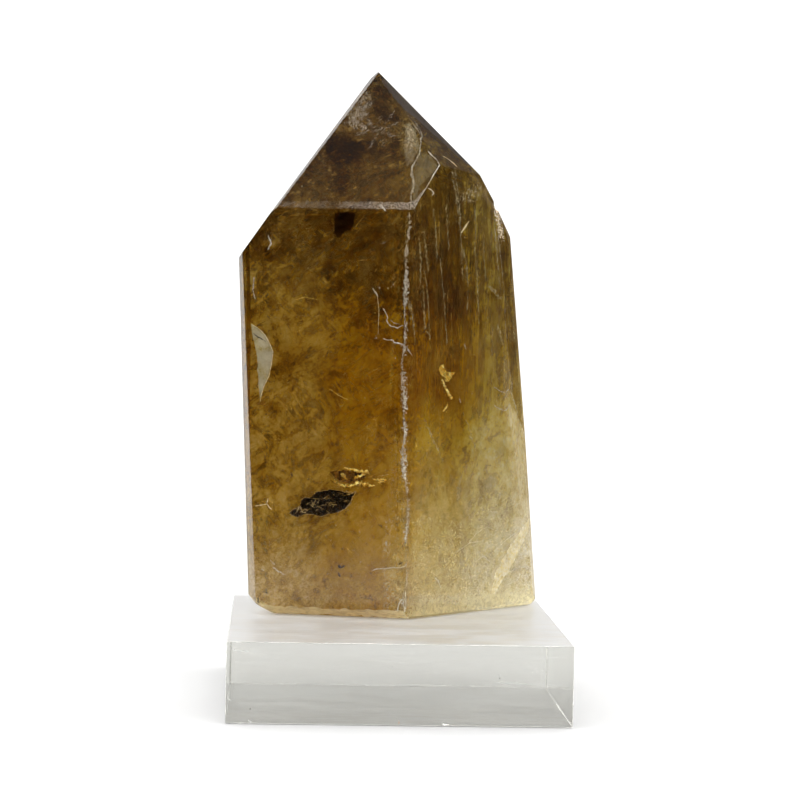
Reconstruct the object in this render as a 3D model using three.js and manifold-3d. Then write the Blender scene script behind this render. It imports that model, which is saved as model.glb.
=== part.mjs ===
// Polished citrine point standing on a clear acrylic block.
// Millimetres, +Z up, the wide front faces towards -Y.
// The origin is the centre of the block's underside.
import * as THREE from 'three';
import { mergeVertices } from 'three/addons/utils/BufferGeometryUtils.js';
import Module from 'manifold-3d';

const wasm = await Module();
wasm.setup();

// ---------------------------------------------------------------- dimensions
const BLOCK_WIDTH = 81.0;      // X, square stock
const BLOCK_DEPTH = 81.0;      // Y
const BLOCK_HEIGHT = 19.05;    // 3/4 inch cast sheet
const BLOCK_ARRIS = 0.35;      // broken edge all round
const SEAT_GAP = 0.3;          // clearance between the stone's cut foot and the block
const FOOT_CENTRE_Y = 19.55;   // the stone stands on the rear half of the block

// Every face of the stone: azimuth of its outward normal in degrees (0 faces -Y,
// +90 faces +X), how far that normal tips up, and the face's distance in mm from
// the centre of the cut foot.
const PRISM_FACES = {
  front: [-10, 1.2, 21.0],
  right_front: [41, 1.24, 18.17],
  right: [108, 6.15, 40.16],
  back: [176, 1.6, 19.26],
  left_back: [-134, -2.04, 18.95],
  left: [-70, -2.55, 37.3],
};
const POINT_FACES = {
  front_main: [-9.93, 34.45, 73.03],
  right_front_point: [47.47, 44.76, 90.83],
  right_point: [112, 37.56, 82.25],
  back_point: [174, 40, 94.13],
  left_back_point: [-136, 37, 90.76],
  left_point: [-90.7, 34.5, 83.58],
};
const NARROW_FACETS = {
  left_slope_strip: [-58, 42, 92.99],     // thin polished strip down the left slope
  right_edge_sliver: [53.68, 3.8, 26.58], // long thin facet on the upper right edge
};
const FOOT_BEVELS = {
  front_bevel: [-10, -40.8, 14.69],
  right_front_bevel: [43.03, -43.72, 13.42],
  left_bevel: [-100.62, -59.78, 13.44],
  back_bevel: [176, -43.4, 12.8],
  left_back_bevel: [-134, -47.04, 11.43],
  right_bevel: [108, -38.85, 30.25],
};

// Conchoidal bites knocked out of the right shoulder: centre in mm from the foot
// centre, and radius.
const SHOULDER_BITES = [
  [26.3, 0.3, 104.6, 1.9],
  [28.0, 1.4, 101.6, 1.5],
];

// ------------------------------------------------------------------- helpers
const rad = THREE.MathUtils.degToRad;

function faceNormal(azimuth, lean) {
  return new THREE.Vector3(
    Math.sin(rad(azimuth)) * Math.cos(rad(lean)),
    -Math.cos(rad(azimuth)) * Math.cos(rad(lean)),
    Math.sin(rad(lean)),
  );
}

// A convex body from its faces. Corners are where three faces meet on the body's
// own side of all the others; each face is the ring of its corners, fanned.
function bodyFromFaces(planes) {
  const corners = [];
  const eps = 1e-5;
  for (let i = 0; i < planes.length; i++) {
    for (let j = i + 1; j < planes.length; j++) {
      for (let k = j + 1; k < planes.length; k++) {
        const [a, b, c] = [planes[i], planes[j], planes[k]];
        const det = a.normal.dot(new THREE.Vector3().crossVectors(b.normal, c.normal));
        if (Math.abs(det) < 1e-7) continue;
        const p = new THREE.Vector3()
          .addScaledVector(new THREE.Vector3().crossVectors(b.normal, c.normal), a.distance)
          .addScaledVector(new THREE.Vector3().crossVectors(c.normal, a.normal), b.distance)
          .addScaledVector(new THREE.Vector3().crossVectors(a.normal, b.normal), c.distance)
          .divideScalar(det);
        if (planes.some((q) => q.normal.dot(p) > q.distance + eps)) continue;
        let corner = corners.find((v) => v.point.distanceTo(p) < 1e-3);
        if (!corner) {
          corner = { point: p, faces: new Set() };
          corners.push(corner);
        }
        [i, j, k].forEach((f) => corner.faces.add(f));
      }
    }
  }
  const positions = corners.flatMap((v) => v.point.toArray());
  const index = [];
  planes.forEach((plane, f) => {
    const ring = corners.map((v, n) => n).filter((n) => corners[n].faces.has(f));
    if (ring.length < 3) return;
    const middle = new THREE.Vector3();
    ring.forEach((n) => middle.add(corners[n].point));
    middle.divideScalar(ring.length);
    const u = new THREE.Vector3().subVectors(corners[ring[0]].point, middle).normalize();
    const v = new THREE.Vector3().crossVectors(plane.normal, u);
    const angle = (n) => {
      const d = new THREE.Vector3().subVectors(corners[n].point, middle);
      return Math.atan2(d.dot(v), d.dot(u));
    };
    ring.sort((m, n) => angle(m) - angle(n));
    for (let t = 1; t + 1 < ring.length; t++) index.push(ring[0], ring[t], ring[t + 1]);
  });
  const geometry = new THREE.BufferGeometry();
  geometry.setAttribute('position', new THREE.Float32BufferAttribute(positions, 3));
  geometry.setIndex(index);
  return geometry;
}

function toSolid(geometry) {
  const g = geometry.clone();
  g.deleteAttribute('normal');
  g.deleteAttribute('uv');
  const merged = mergeVertices(g, 1e-5);
  return new wasm.Manifold(new wasm.Mesh({
    numProp: 3,
    vertProperties: new Float32Array(merged.attributes.position.array),
    triVerts: new Uint32Array(merged.index.array),
  }));
}

function toGeometry(solid) {
  const mesh = solid.getMesh();
  const g = new THREE.BufferGeometry();
  g.setAttribute('position', new THREE.Float32BufferAttribute(mesh.vertProperties, 3));
  g.setIndex(Array.from(mesh.triVerts));
  return g;
}

// ---------------------------------------------------------------- the stone
function crystalGeometry() {
  const all = { ...PRISM_FACES, ...POINT_FACES, ...NARROW_FACETS, ...FOOT_BEVELS };
  const planes = Object.values(all).map(([az, lean, distance]) => (
    { normal: faceNormal(az, lean), distance }));
  planes.push({ normal: new THREE.Vector3(0, 0, -1), distance: 0 });   // cut foot
  let stone = toSolid(bodyFromFaces(planes));
  SHOULDER_BITES.forEach(([x, y, z, r], n) => {
    const bite = new THREE.IcosahedronGeometry(r, 1);
    bite.scale(1.0, 1.25, 1.35);
    bite.rotateZ(0.4 + n);
    bite.rotateX(0.3 * n);
    bite.translate(x, y, z);
    stone = stone.subtract(toSolid(bite));
  });
  return toGeometry(stone);
}

// ---------------------------------------------------------------- the block
function blockGeometry() {
  const w = BLOCK_WIDTH / 2, d = BLOCK_DEPTH / 2, h = BLOCK_HEIGHT / 2, s = Math.SQRT1_2;
  const planes = [
    [1, 0, 0, w], [-1, 0, 0, w], [0, 1, 0, d], [0, -1, 0, d], [0, 0, 1, h], [0, 0, -1, h],
  ];
  for (const x of [-1, 1]) {
    for (const y of [-1, 1]) planes.push([x * s, y * s, 0, (w + d - BLOCK_ARRIS) * s]);
    for (const z of [-1, 1]) planes.push([x * s, 0, z * s, (w + h - BLOCK_ARRIS) * s]);
  }
  for (const y of [-1, 1]) {
    for (const z of [-1, 1]) planes.push([0, y * s, z * s, (d + h - BLOCK_ARRIS) * s]);
  }
  return bodyFromFaces(planes.map(([x, y, z, distance]) => (
    { normal: new THREE.Vector3(x, y, z), distance })));
}

// --------------------------------------------------------------- assembly
const citrine = new THREE.MeshStandardMaterial({
  color: 0x8a651f, roughness: 0.06, metalness: 0, transparent: true, opacity: 0.9,
});
const acrylic = new THREE.MeshStandardMaterial({
  color: 0xe4e6e4, roughness: 0.05, metalness: 0, transparent: true, opacity: 0.35,
});

const block = new THREE.Mesh(blockGeometry(), acrylic);
block.name = 'acrylic_base';
block.position.set(0, 0, BLOCK_HEIGHT / 2);

const stone = new THREE.Mesh(crystalGeometry(), citrine);
stone.name = 'crystal_point';

const seat = new THREE.Group();              // the stone's place on the block
seat.position.set(0, FOOT_CENTRE_Y, BLOCK_HEIGHT + SEAT_GAP);
seat.add(stone);

const object = new THREE.Group();
object.add(block, seat);

export default object;
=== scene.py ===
import math
import random

import bmesh
import bpy
from mathutils import Matrix, Vector, noise


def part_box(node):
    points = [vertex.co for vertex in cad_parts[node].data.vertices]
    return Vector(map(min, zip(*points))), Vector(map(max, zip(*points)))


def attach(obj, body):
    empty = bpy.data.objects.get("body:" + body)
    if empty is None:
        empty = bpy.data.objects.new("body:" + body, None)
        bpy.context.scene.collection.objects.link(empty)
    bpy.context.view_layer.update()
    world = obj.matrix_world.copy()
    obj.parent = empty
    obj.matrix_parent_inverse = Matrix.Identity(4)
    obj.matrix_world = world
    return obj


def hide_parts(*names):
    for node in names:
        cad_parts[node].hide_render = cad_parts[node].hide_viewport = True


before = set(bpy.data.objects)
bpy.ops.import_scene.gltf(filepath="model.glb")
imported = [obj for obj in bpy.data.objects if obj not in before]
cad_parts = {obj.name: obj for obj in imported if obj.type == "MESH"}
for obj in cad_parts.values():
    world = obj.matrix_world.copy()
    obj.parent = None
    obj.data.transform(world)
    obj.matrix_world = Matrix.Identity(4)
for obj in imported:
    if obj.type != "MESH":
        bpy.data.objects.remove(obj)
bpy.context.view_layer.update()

BLOCK_LO, BLOCK_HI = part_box("acrylic_base")
STONE_LO, STONE_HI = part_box("crystal_point")

# The stone's faces, as in the CAD: azimuth of the outward normal in degrees (0 faces -Y,
# +90 faces +X), how far it tips up, and its distance in mm from the foot's centre.
FOOT = Vector((0.0, 19.55, 19.35))
FACES = {
    "front": (-10, 1.2, 21.0),
    "right_front": (41, 1.24, 18.17),
    "right": (108, 6.15, 40.16),
    "back": (176, 1.6, 19.26),
    "left_back": (-134, -2.04, 18.95),
    "left": (-70, -2.55, 37.3),
    "front_main": (-9.93, 34.45, 73.03),
    "right_front_point": (47.47, 44.76, 90.83),
    "right_point": (112, 37.56, 82.25),
    "back_point": (174, 40, 94.13),
    "left_back_point": (-136, 37, 90.76),
    "left_point": (-90.7, 34.5, 83.58),
    "left_slope_strip": (-58, 42, 92.99),
    "right_edge_sliver": (53.68, 3.8, 26.58),
    "front_bevel": (-10, -40.8, 14.69),
    "right_front_bevel": (43.03, -43.72, 13.42),
    "left_bevel": (-100.62, -59.78, 13.44),
    "back_bevel": (176, -43.4, 12.8),
    "left_back_bevel": (-134, -47.04, 11.43),
    "right_bevel": (108, -38.85, 30.25),
    "foot": (0, -90, 0.0),
}
# bites knocked out of the right shoulder: centre from the foot's centre, radius (mm)
BITES = [(26.3, 0.3, 104.6, 1.9), (28.0, 1.4, 101.6, 1.5)]

# What is sealed in the stone or broken into its surface, as lines and outlines in mm in the
# object's frame. A line's points are (x, y, z, width); an outline's are (x, y, z).
FEATURES = {
    'crack_low': [[1.71, 0.43, 120.51, 0.52], [1.89, 0.34, 118.04, 0.52], [1.92, 0.3, 116.31, 0.65], [1.45, 0.36, 115.31, 0.65], [1.73, 0.29, 114.08, 0.78], [1.26, 0.34, 112.83, 0.78], [1.24, 0.33, 111.84, 1.04], [1.07, 0.32, 110.35, 0.91], [1.05, 0.3, 109.11, 0.52], [1.13, 0.26, 107.87, 0.52], [1.29, 0.2, 106.14, 0.78], [1.28, 0.16, 104.4, 0.91], [1.11, 0.16, 103.16, 1.04], [1.26, 0.11, 101.68, 1.56], [0.92, 0.13, 100.18, 1.3], [1.2, 0.06, 98.95, 1.04], [1.17, 0.04, 97.95, 1.04], [1.12, 0.03, 96.96, 0.78], [1.1, 0.01, 95.72, 0.65], [1.18, -0.04, 93.99, 0.65], [1.34, -0.11, 92.25, 1.04], [1.38, -0.15, 90.77, 0.78], [1.29, -0.16, 89.27, 0.91], [1.32, -0.2, 87.79, 1.3], [1.1, -0.19, 86.29, 1.04], [0.89, -0.19, 84.79, 0.91], [0.8, -0.2, 83.3, 1.04], [0.83, -0.24, 81.81, 1.3], [0.99, -0.3, 80.33, 1.3], [1.14, -0.36, 78.84, 1.3], [1.18, -0.4, 77.35, 1.3], [1.33, -0.46, 75.86, 1.3], [1.61, -0.54, 74.38, 1.56], [1.64, -0.57, 72.89, 1.3], [1.55, -0.59, 71.4, 1.3], [1.46, -0.61, 69.9, 1.3], [1.62, -0.67, 68.42, 1.3], [1.77, -0.72, 66.93, 1.3], [1.93, -0.78, 65.69, 1.04], [1.72, -0.78, 63.94, 0.91], [1.5, -0.77, 62.44, 1.04], [1.41, -0.79, 60.95, 1.3], [1.45, -0.82, 59.46, 1.43], [1.6, -0.88, 57.97, 1.56], [1.63, -0.92, 56.48, 1.82], [1.91, -1.0, 54.99, 1.56], [2.44, -1.13, 53.52, 0.78], [2.85, -1.24, 51.54, 0.78], [3.26, -1.36, 49.56, 0.78], [3.55, -1.44, 47.83, 0.78], [3.34, -1.44, 46.08, 1.04], [3.37, -1.48, 44.58, 1.04], [3.29, -1.5, 42.84, 1.17], [3.08, -1.5, 41.09, 1.3], [2.87, -1.5, 39.58, 1.3], [2.65, -1.49, 38.33, 0.91], [2.8, -1.55, 36.84, 0.39], [3.09, -1.63, 35.11, 0.39], [3.37, -1.71, 33.62, 0.31], [3.4, -1.75, 32.13, 0.39], [3.56, -1.81, 30.64, 0.65], [3.47, -1.83, 29.14, 0.57], [3.25, -1.81, 27.88, 0.52], [2.9, -1.78, 26.62, 0.91], [2.44, -1.73, 25.36, 1.3], [2.29, -1.73, 24.1, 1.3], [2.37, -1.77, 22.61, 0.78]],
    'crack_high': [[4.12, 17.22, 145.52, 0.39], [4.85, 16.17, 144.19, 0.52], [5.7, 14.72, 142.33, 0.65], [5.54, 13.64, 140.73, 0.91], [5.01, 12.99, 139.67, 0.78], [4.85, 11.72, 137.81, 0.65], [4.69, 10.46, 135.97, 0.65], [3.91, 9.5, 134.38, 0.65], [3.27, 8.69, 133.06, 0.78], [2.62, 7.89, 131.75, 1.04], [2.48, 7.01, 130.44, 1.3], [2.83, 6.05, 129.15, 1.3], [3.05, 5.11, 127.86, 1.43], [2.78, 4.26, 126.57, 1.3], [2.26, 3.27, 125.02, 0.78], [2.23, 1.85, 122.97, 0.52], [2.08, 0.63, 121.19, 0.39]],
    'b1': [[-4.17, 1.01, 96.59, 0.31], [-3.4, 0.84, 95.36, 0.36], [-2.88, 0.73, 94.13, 0.42], [-3.24, 0.78, 93.63, 0.36], [-2.73, 0.67, 92.65, 0.36], [-2.1, 0.54, 92.04, 0.42], [-1.36, 0.41, 92.06, 0.36], [-0.49, 0.25, 91.71, 0.42], [0.36, 0.11, 92.23, 0.36], [1.1, -0.01, 92.49, 0.42]],
    'b2': [[-2.36, 0.83, 93.65, 0.21], [-1.36, 0.64, 92.93, 0.26], [-0.12, 0.41, 92.71, 0.21]],
    'b3': [[-4.01, 0.82, 89.01, 0.31], [-3.01, 0.63, 88.67, 0.31], [-1.53, 0.37, 88.7, 0.26], [-1.27, 0.31, 88.09, 0.52], [-0.28, 0.14, 87.99, 0.47], [0.46, 0.0, 87.76, 0.42], [1.21, -0.13, 87.53, 0.52]],
    'b4': [[-6.86, 1.69, 101.49, 0.36], [-5.97, 1.5, 100.27, 0.39], [-5.46, 1.39, 99.41, 0.36]],
    'b5': [[-5.59, -0.04, 31.02, 0.31], [-4.49, -0.22, 31.56, 0.36], [-2.51, -0.56, 31.76, 0.34], [-0.04, -0.99, 32.11, 0.29], [1.44, -1.26, 32.04, 0.31], [2.42, -1.42, 32.45, 0.31], [3.14, -1.53, 33.23, 0.31]],
    'b6': [[1.97, -1.61, 24.33, 0.57], [1.26, -1.52, 22.81, 0.52], [0.98, -1.51, 21.05, 0.47]],
    'b7': [[2.23, -1.68, 23.6, 0.52], [2.63, -1.77, 22.36, 0.47], [2.81, -1.83, 21.12, 0.42]],
    'b8': [[2.86, -1.73, 26.37, 0.52], [3.17, -1.83, 23.88, 0.52], [3.1, -1.88, 21.38, 0.47]],
    'b9': [[-5.42, 2.89, 122.29, 0.42], [-4.68, 2.06, 121.28, 0.62], [-3.95, 1.5, 120.66, 0.42]],
    'c1': [[1.63, -0.5, 87.3, 0.31], [2.17, -0.06, 86.56, 0.29], [2.71, 0.39, 85.57, 0.31], [3.26, 0.84, 84.82, 0.21]],
    'c2': [[6.25, 4.64, 126.76, 0.31], [7.18, 5.45, 126.45, 0.34], [7.95, 6.09, 125.63, 0.34], [7.36, 5.55, 124.84, 0.26]],
    'c3': [[11.11, 11.13, 136.48, 0.39], [12.2, 12.07, 135.81, 0.57], [13.06, 12.76, 133.86, 0.62], [13.92, 13.46, 132.15, 0.42]],
    'c4': [[15.39, 12.94, 115.99, 0.34], [16.45, 13.91, 117.57, 0.47], [17.51, 14.88, 119.15, 0.34]],
    'tail': [[10.31, 11.44, 78.88, 0.42], [10.88, 11.89, 77.36, 0.57], [11.73, 12.59, 75.82, 0.62], [12.58, 13.29, 74.54, 0.62], [13.14, 13.75, 73.64, 0.73]],
    'tail2': [[12.08, 12.8, 72.51, 0.31], [11.3, 12.08, 71.26, 0.39], [10.77, 11.6, 70.64, 0.47]],
    'flake': [[9.31, 10.63, 81.17], [9.69, 10.99, 82.18], [10.49, 11.7, 82.56], [11.06, 12.16, 81.41], [11.89, 12.86, 80.64], [13.8, 14.52, 80.5], [13.01, 13.8, 79.36], [12.21, 13.08, 78.36], [11.41, 12.37, 78.11], [10.83, 11.91, 79.39], [9.74, 10.98, 80.16]],
    'leaf': [[-26.22, 6.93, 44.56], [-25.48, 6.82, 45.34], [-23.5, 6.5, 46.42], [-23.28, 6.49, 47.93], [-22.29, 6.33, 48.72], [-21.04, 6.11, 48.51], [-19.57, 5.88, 50.07], [-17.58, 5.54, 50.51], [-15.59, 5.19, 50.83], [-13.09, 4.75, 50.54], [-11.08, 4.38, 49.86], [-9.6, 4.13, 50.41], [-10.57, 4.27, 49.12], [-10.78, 4.28, 47.61], [-12.25, 4.5, 46.06], [-13.97, 4.79, 45.24], [-16.46, 5.22, 44.65], [-18.19, 5.51, 43.97], [-20.2, 5.87, 44.4], [-22.2, 6.23, 44.45], [-24.19, 6.56, 43.63], [-25.7, 6.83, 44.08]],
    'l1': [[-21.06, 5.81, 48.53, 0.23], [-20.54, 5.69, 47.55, 0.23], [-19.52, 5.5, 46.83, 0.23]],
    'l2': [[-24.5, 6.35, 45.4, 0.23], [-22.75, 6.04, 45.59, 0.23], [-21.5, 5.82, 45.63, 0.18]],
    'l3': [[-19.51, 5.49, 46.33, 0.23], [-18.02, 5.23, 46.76, 0.29], [-16.04, 4.89, 47.2, 0.26], [-14.04, 4.53, 47.02, 0.18]],
    'l4': [[-13.09, 4.42, 49.43, 0.23], [-11.1, 4.08, 49.75, 0.31], [-9.63, 3.84, 50.68, 0.42]],
    'l5': [[-17.0, 5.03, 45.66, 0.23], [-15.98, 4.83, 44.82, 0.18]],
    'l6': [[-12.27, 4.2, 46.08, 0.16], [-11.06, 4.02, 47.62, 0.16], [-10.34, 3.93, 49.15, 0.21]],
    'lens': [[-16.16, 5.69, 55.19], [-14.67, 5.44, 55.48], [-12.68, 5.09, 55.8], [-10.68, 4.74, 55.62], [-8.68, 4.37, 55.18], [-7.17, 4.09, 54.48], [-8.15, 4.24, 53.44], [-9.63, 4.49, 52.77], [-11.61, 4.83, 52.45], [-13.62, 5.2, 53.01], [-14.88, 5.44, 53.72]],
    'g1': [[-15.66, 5.16, 53.6, 0.47], [-14.64, 4.96, 52.63, 0.57], [-13.37, 4.72, 51.79, 0.62], [-11.13, 4.33, 51.87, 0.57], [-9.15, 3.99, 52.43, 0.78], [-7.42, 3.69, 52.62, 0.88], [-6.16, 3.46, 52.03, 0.47], [-4.92, 3.24, 52.2, 0.26]],
    'g2': [[-12.73, 4.71, 56.45, 0.26], [-11.22, 4.43, 56.0, 0.47], [-9.22, 4.07, 55.69, 0.57], [-7.48, 3.77, 55.62, 0.78], [-6.47, 3.57, 55.03, 0.52]],
    'g3': [[-13.45, 4.81, 55.17, 0.42], [-12.68, 4.65, 54.32, 0.68], [-11.91, 4.5, 53.34, 0.26]],
    'g4': [[-10.18, 4.21, 54.03, 0.52], [-9.44, 4.08, 54.05, 0.88], [-8.45, 3.91, 54.34, 0.57], [-7.47, 3.75, 54.99, 0.36]],
    'g5': [[-5.45, 3.37, 53.81, 0.31], [-3.96, 3.1, 53.61, 0.42], [-2.97, 2.93, 53.89, 0.57], [-1.97, 2.75, 53.6, 0.42]],
    'g6': [[-4.19, 3.13, 52.98, 0.26], [-2.71, 2.87, 53.27, 0.31]],
    'h1': [[-34.93, 5.97, 46.2, 0.21], [-33.18, 5.66, 46.51, 0.23], [-31.93, 5.45, 46.81, 0.26], [-31.41, 5.34, 46.07, 0.26], [-30.65, 5.2, 45.47, 0.26]],
    'h2': [[-31.71, 5.44, 48.32, 0.21], [-31.94, 5.46, 47.06, 0.21]],
    'd1': [[-25.2, 4.96, 55.78, 0.26], [-25.19, 4.95, 55.15, 0.26]],
    'd2': [[-25.94, 5.08, 55.0, 0.42], [-25.66, 5.0, 53.76, 0.36]],
    'd3': [[-3.94, 0.73, 33.25, 0.65], [-1.93, 0.36, 32.32, 0.57], [-0.46, 0.11, 32.63, 0.65], [0.53, -0.06, 33.04, 0.65], [1.76, -0.28, 32.96, 1.04], [2.49, -0.39, 33.74, 0.78]],
    'd4': [[-32.2, 5.53, 24.5, 0.52], [-31.19, 5.35, 24.47, 0.68]],
    'd5': [[-33.55, 5.75, 23.32, 0.52], [-33.61, 5.73, 22.31, 0.52], [-33.44, 5.68, 21.31, 0.62], [-32.62, 5.53, 20.84, 0.31]],
    'd6': [[2.01, -0.08, 44.45, 0.65], [2.52, -0.19, 43.47, 0.91], [2.18, -0.15, 42.21, 0.78], [1.94, -0.12, 41.7, 0.39]],
    'window': [[-36.8, 8.48, 91.78], [-35.02, 8.15, 90.82], [-33.23, 7.8, 89.11], [-31.93, 7.52, 86.88], [-31.14, 7.34, 84.9], [-31.46, 7.33, 81.88], [-32.02, 7.37, 78.86], [-33.22, 7.53, 76.32], [-33.92, 7.6, 73.79], [-34.14, 7.6, 72.28], [-34.6, 7.77, 76.28], [-35.06, 7.93, 80.28], [-35.4, 8.09, 84.79], [-36.23, 8.31, 88.28]],
    'wl': [[-36.26, 8.14, 89.54, 0.36], [-34.99, 7.89, 88.57, 0.42], [-33.98, 7.71, 88.09, 0.34], [-32.96, 7.51, 87.36, 0.21]],
    'wedge': [[7.57, 9.11, 80.68], [12.51, 13.31, 77.34], [15.89, 16.13, 73.46], [17.39, 17.29, 68.3], [16.45, 16.27, 61.16], [15.21, 15.03, 55.59], [15.12, 14.73, 47.92], [15.85, 15.14, 40.2], [16.32, 15.31, 31.96], [15.51, 14.59, 31.01], [14.26, 13.69, 37.51], [13.15, 12.92, 44.22], [12.03, 12.15, 51.42], [11.03, 11.51, 59.6], [10.04, 10.87, 67.24], [8.78, 10.0, 74.86]],
    'yellow': [[7.12, 11.26, 77.07], [7.97, 11.95, 75.03], [8.9, 12.6, 69.69], [9.85, 13.26, 64.08], [10.49, 13.69, 59.48], [11.14, 14.13, 55.12], [11.79, 14.56, 50.49], [12.7, 15.24, 46.61], [13.37, 15.67, 41.45], [13.9, 15.99, 36.29], [14.69, 16.55, 31.87], [15.13, 16.73, 24.64], [14.68, 16.21, 20.58], [1.99, 5.22, 21.89], [1.99, 5.56, 33.46], [1.92, 5.93, 48.54], [1.9, 6.27, 61.09], [3.61, 7.93, 67.31], [5.09, 9.36, 72.31]],
    'band': [[-30.54, 7.14, 122.51], [-25.3, 6.29, 122.61], [-15.35, 4.64, 122.75], [-5.44, 3.02, 122.9], [1.72, 1.77, 122.91], [3.46, 2.07, 123.79], [4.73, 3.12, 125.6], [6.24, 3.86, 127.04], [2.81, 0.44, 121.28], [1.69, 0.48, 121.05], [-5.45, 1.78, 121.12], [-15.34, 3.47, 121.06], [-25.28, 5.2, 121.05], [-30.26, 6.15, 121.16]],
    'ribbon': [[36.5, 31.82, 41.97, 0.52], [35.1, 30.53, 39.43, 1.04], [33.14, 28.74, 36.16, 1.43], [31.19, 26.96, 33.16, 1.82], [29.26, 25.18, 29.93, 1.82], [27.61, 23.68, 27.46, 1.56], [26.53, 22.67, 24.96, 1.04], [26.02, 22.16, 22.41, 0.78], [25.5, 21.65, 20.64, 0.52]],
    'veiltip': [[-8.55, 26.94, 151.61], [-6.75, 26.26, 151.09], [-5.48, 25.1, 149.74], [-7.03, 24.22, 148.08], [-8.56, 24.09, 147.52], [-8.06, 22.31, 145.09], [-9.85, 21.67, 143.71], [-7.06, 20.09, 142.14], [-9.1, 18.93, 139.97], [-12.15, 19.99, 140.72], [-13.93, 21.22, 142.04], [-13.68, 23.05, 144.74], [-12.66, 24.77, 147.46], [-10.86, 25.99, 149.66]],
    'patch': [[1.18, 20.75, 143.4], [2.71, 20.69, 143.69], [4.19, 19.14, 141.84], [5.17, 17.49, 139.72], [4.86, 15.5, 136.79], [3.57, 14.43, 134.92], [2.53, 13.32, 133.06], [1.0, 12.11, 130.94], [0.27, 13.68, 133.03], [0.57, 15.84, 136.19], [0.87, 18.19, 139.65]],
    'rslope': [[-1.47, 26.15, 153.09, 1.04], [2.42, 24.71, 149.21, 1.3], [6.3, 23.28, 145.35, 1.3], [10.17, 21.85, 141.5, 1.3], [13.23, 20.26, 138.15, 1.04], [15.02, 19.6, 136.36, 0.52]],
    'shade_up': [[-19.84, 19.05, 139.21], [-16.55, 19.63, 140.86], [-12.23, 18.54, 140.39], [-8.69, 16.66, 138.58], [-7.44, 14.24, 135.42], [-9.71, 12.6, 132.49], [-12.23, 12.1, 131.14], [-10.97, 11.17, 130.12], [-11.98, 9.34, 127.24], [-12.97, 6.45, 122.84], [-16.45, 7.01, 122.77], [-16.97, 8.89, 125.34], [-18.24, 10.9, 127.91], [-18.77, 13.71, 131.82], [-20.06, 16.68, 135.75]],
    'shade_mid': [[-20.76, 18.62, 136.59], [-17.73, 19.6, 138.77], [-13.92, 20.1, 140.43], [-11.13, 18.71, 139.14], [-7.07, 18.78, 140.27], [-4.04, 17.17, 138.71], [-0.49, 17.51, 140.1], [0.21, 14.44, 135.87], [-0.34, 11.97, 132.18], [-3.08, 13.52, 133.71], [-6.11, 13.1, 132.34], [-9.62, 14.58, 133.6], [-12.14, 13.17, 130.93], [-15.16, 12.93, 129.83], [-18.19, 14.7, 131.61], [-20.22, 16.32, 133.42]],
    'tip_facet': [[0.94, 17.83, 143.04], [2.47, 18.14, 143.87], [4.2, 15.99, 141.22], [4.87, 12.74, 136.72], [3.29, 10.26, 132.75], [1.27, 9.68, 131.41], [0.34, 13.12, 136.12]],
    'sliver_shade': [[26.14, 21.35, 115.73], [28.72, 23.57, 114.82], [29.96, 24.2, 99.32], [31.36, 25.12, 88.95], [33.48, 26.51, 73.29], [34.86, 27.46, 64.36], [33.03, 25.98, 68.08], [31.14, 24.52, 74.64], [29.8, 23.58, 82.45], [28.72, 22.9, 91.52], [27.9, 22.48, 101.86]],
    'sliver_line': [[25.84, 21.16, 115.72, 0.21], [26.84, 21.86, 109.57, 0.21], [27.88, 22.54, 101.86, 0.23], [28.71, 22.96, 91.52, 0.23], [29.79, 23.64, 82.45, 0.26], [31.13, 24.58, 74.64, 0.26], [33.02, 26.03, 68.08, 0.26], [34.86, 27.51, 63.84, 0.21]],
    'brush_fan': [[-11.28, 17.33, 140.3], [-8.74, 19.15, 143.55], [-5.17, 20.06, 145.76], [-1.61, 19.85, 146.35], [-0.12, 17.73, 143.68], [-1.19, 14.93, 139.4], [-4.24, 13.59, 136.7], [-8.27, 13.88, 136.11]],
    'apex_brown': [[-7.07, 27.16, 153.71], [-5.26, 27.62, 154.83], [-2.48, 24.49, 151.02], [1.04, 20.88, 146.73], [0.48, 18.35, 142.95], [-3.08, 18.56, 142.36], [-6.61, 20.64, 144.46], [-8.37, 24.32, 149.31]],
    'dark_spot': [[-2.91, 16.02, 139.82], [-0.62, 16.38, 140.92], [0.6, 14.33, 138.28], [0.29, 11.44, 134.06], [-0.99, 10.2, 131.94], [-2.97, 11.98, 134.0]],
    'shade_low': [[-16.95, 5.19, 120.56], [-11.0, 4.14, 120.67], [-11.18, 4.12, 117.81], [-12.12, 4.23, 115.3], [-13.6, 4.48, 115.03], [-15.06, 4.71, 113.5], [-16.3, 4.92, 113.23], [-16.96, 5.08, 115.21]],
    'shade_left': [[-34.32, 11.34, 112.89], [-31.07, 10.79, 113.96], [-30.74, 10.65, 109.95], [-29.43, 10.36, 107.47], [-32.16, 10.81, 105.91], [-34.2, 11.2, 107.37], [-35.27, 11.45, 110.36]],
    'shade_c1': [[-20.68, 8.82, 107.66], [-17.21, 8.25, 109.23], [-14.19, 7.68, 107.8], [-13.87, 7.55, 104.3], [-16.05, 7.88, 101.5], [-19.55, 8.5, 101.67]],
    'slope_sheen': [[-5.46, 26.21, 156.45], [-0.09, 25.39, 151.9], [5.09, 23.47, 146.74], [10.25, 21.57, 141.61], [15.41, 20.12, 136.79], [19.5, 18.61, 132.71], [17.3, 17.13, 133.34], [13.93, 17.46, 136.07], [10.84, 18.14, 138.83], [7.49, 18.92, 141.85], [4.13, 19.7, 144.88], [0.99, 19.49, 147.07], [-1.55, 21.33, 150.22], [-4.09, 23.64, 153.68]],
    'tri_clear': [[0.51, 15.13, 143.25], [2.45, 18.01, 143.77], [4.33, 13.74, 139.46], [5.17, 9.46, 135.93], [7.02, 10.55, 135.29], [8.96, 8.31, 132.32], [5.22, -5.1, 125.95], [1.42, -18.01, 119.99], [0.96, -11.42, 124.82], [1.92, -0.56, 131.51], [3.9, 9.92, 137.18]],
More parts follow.
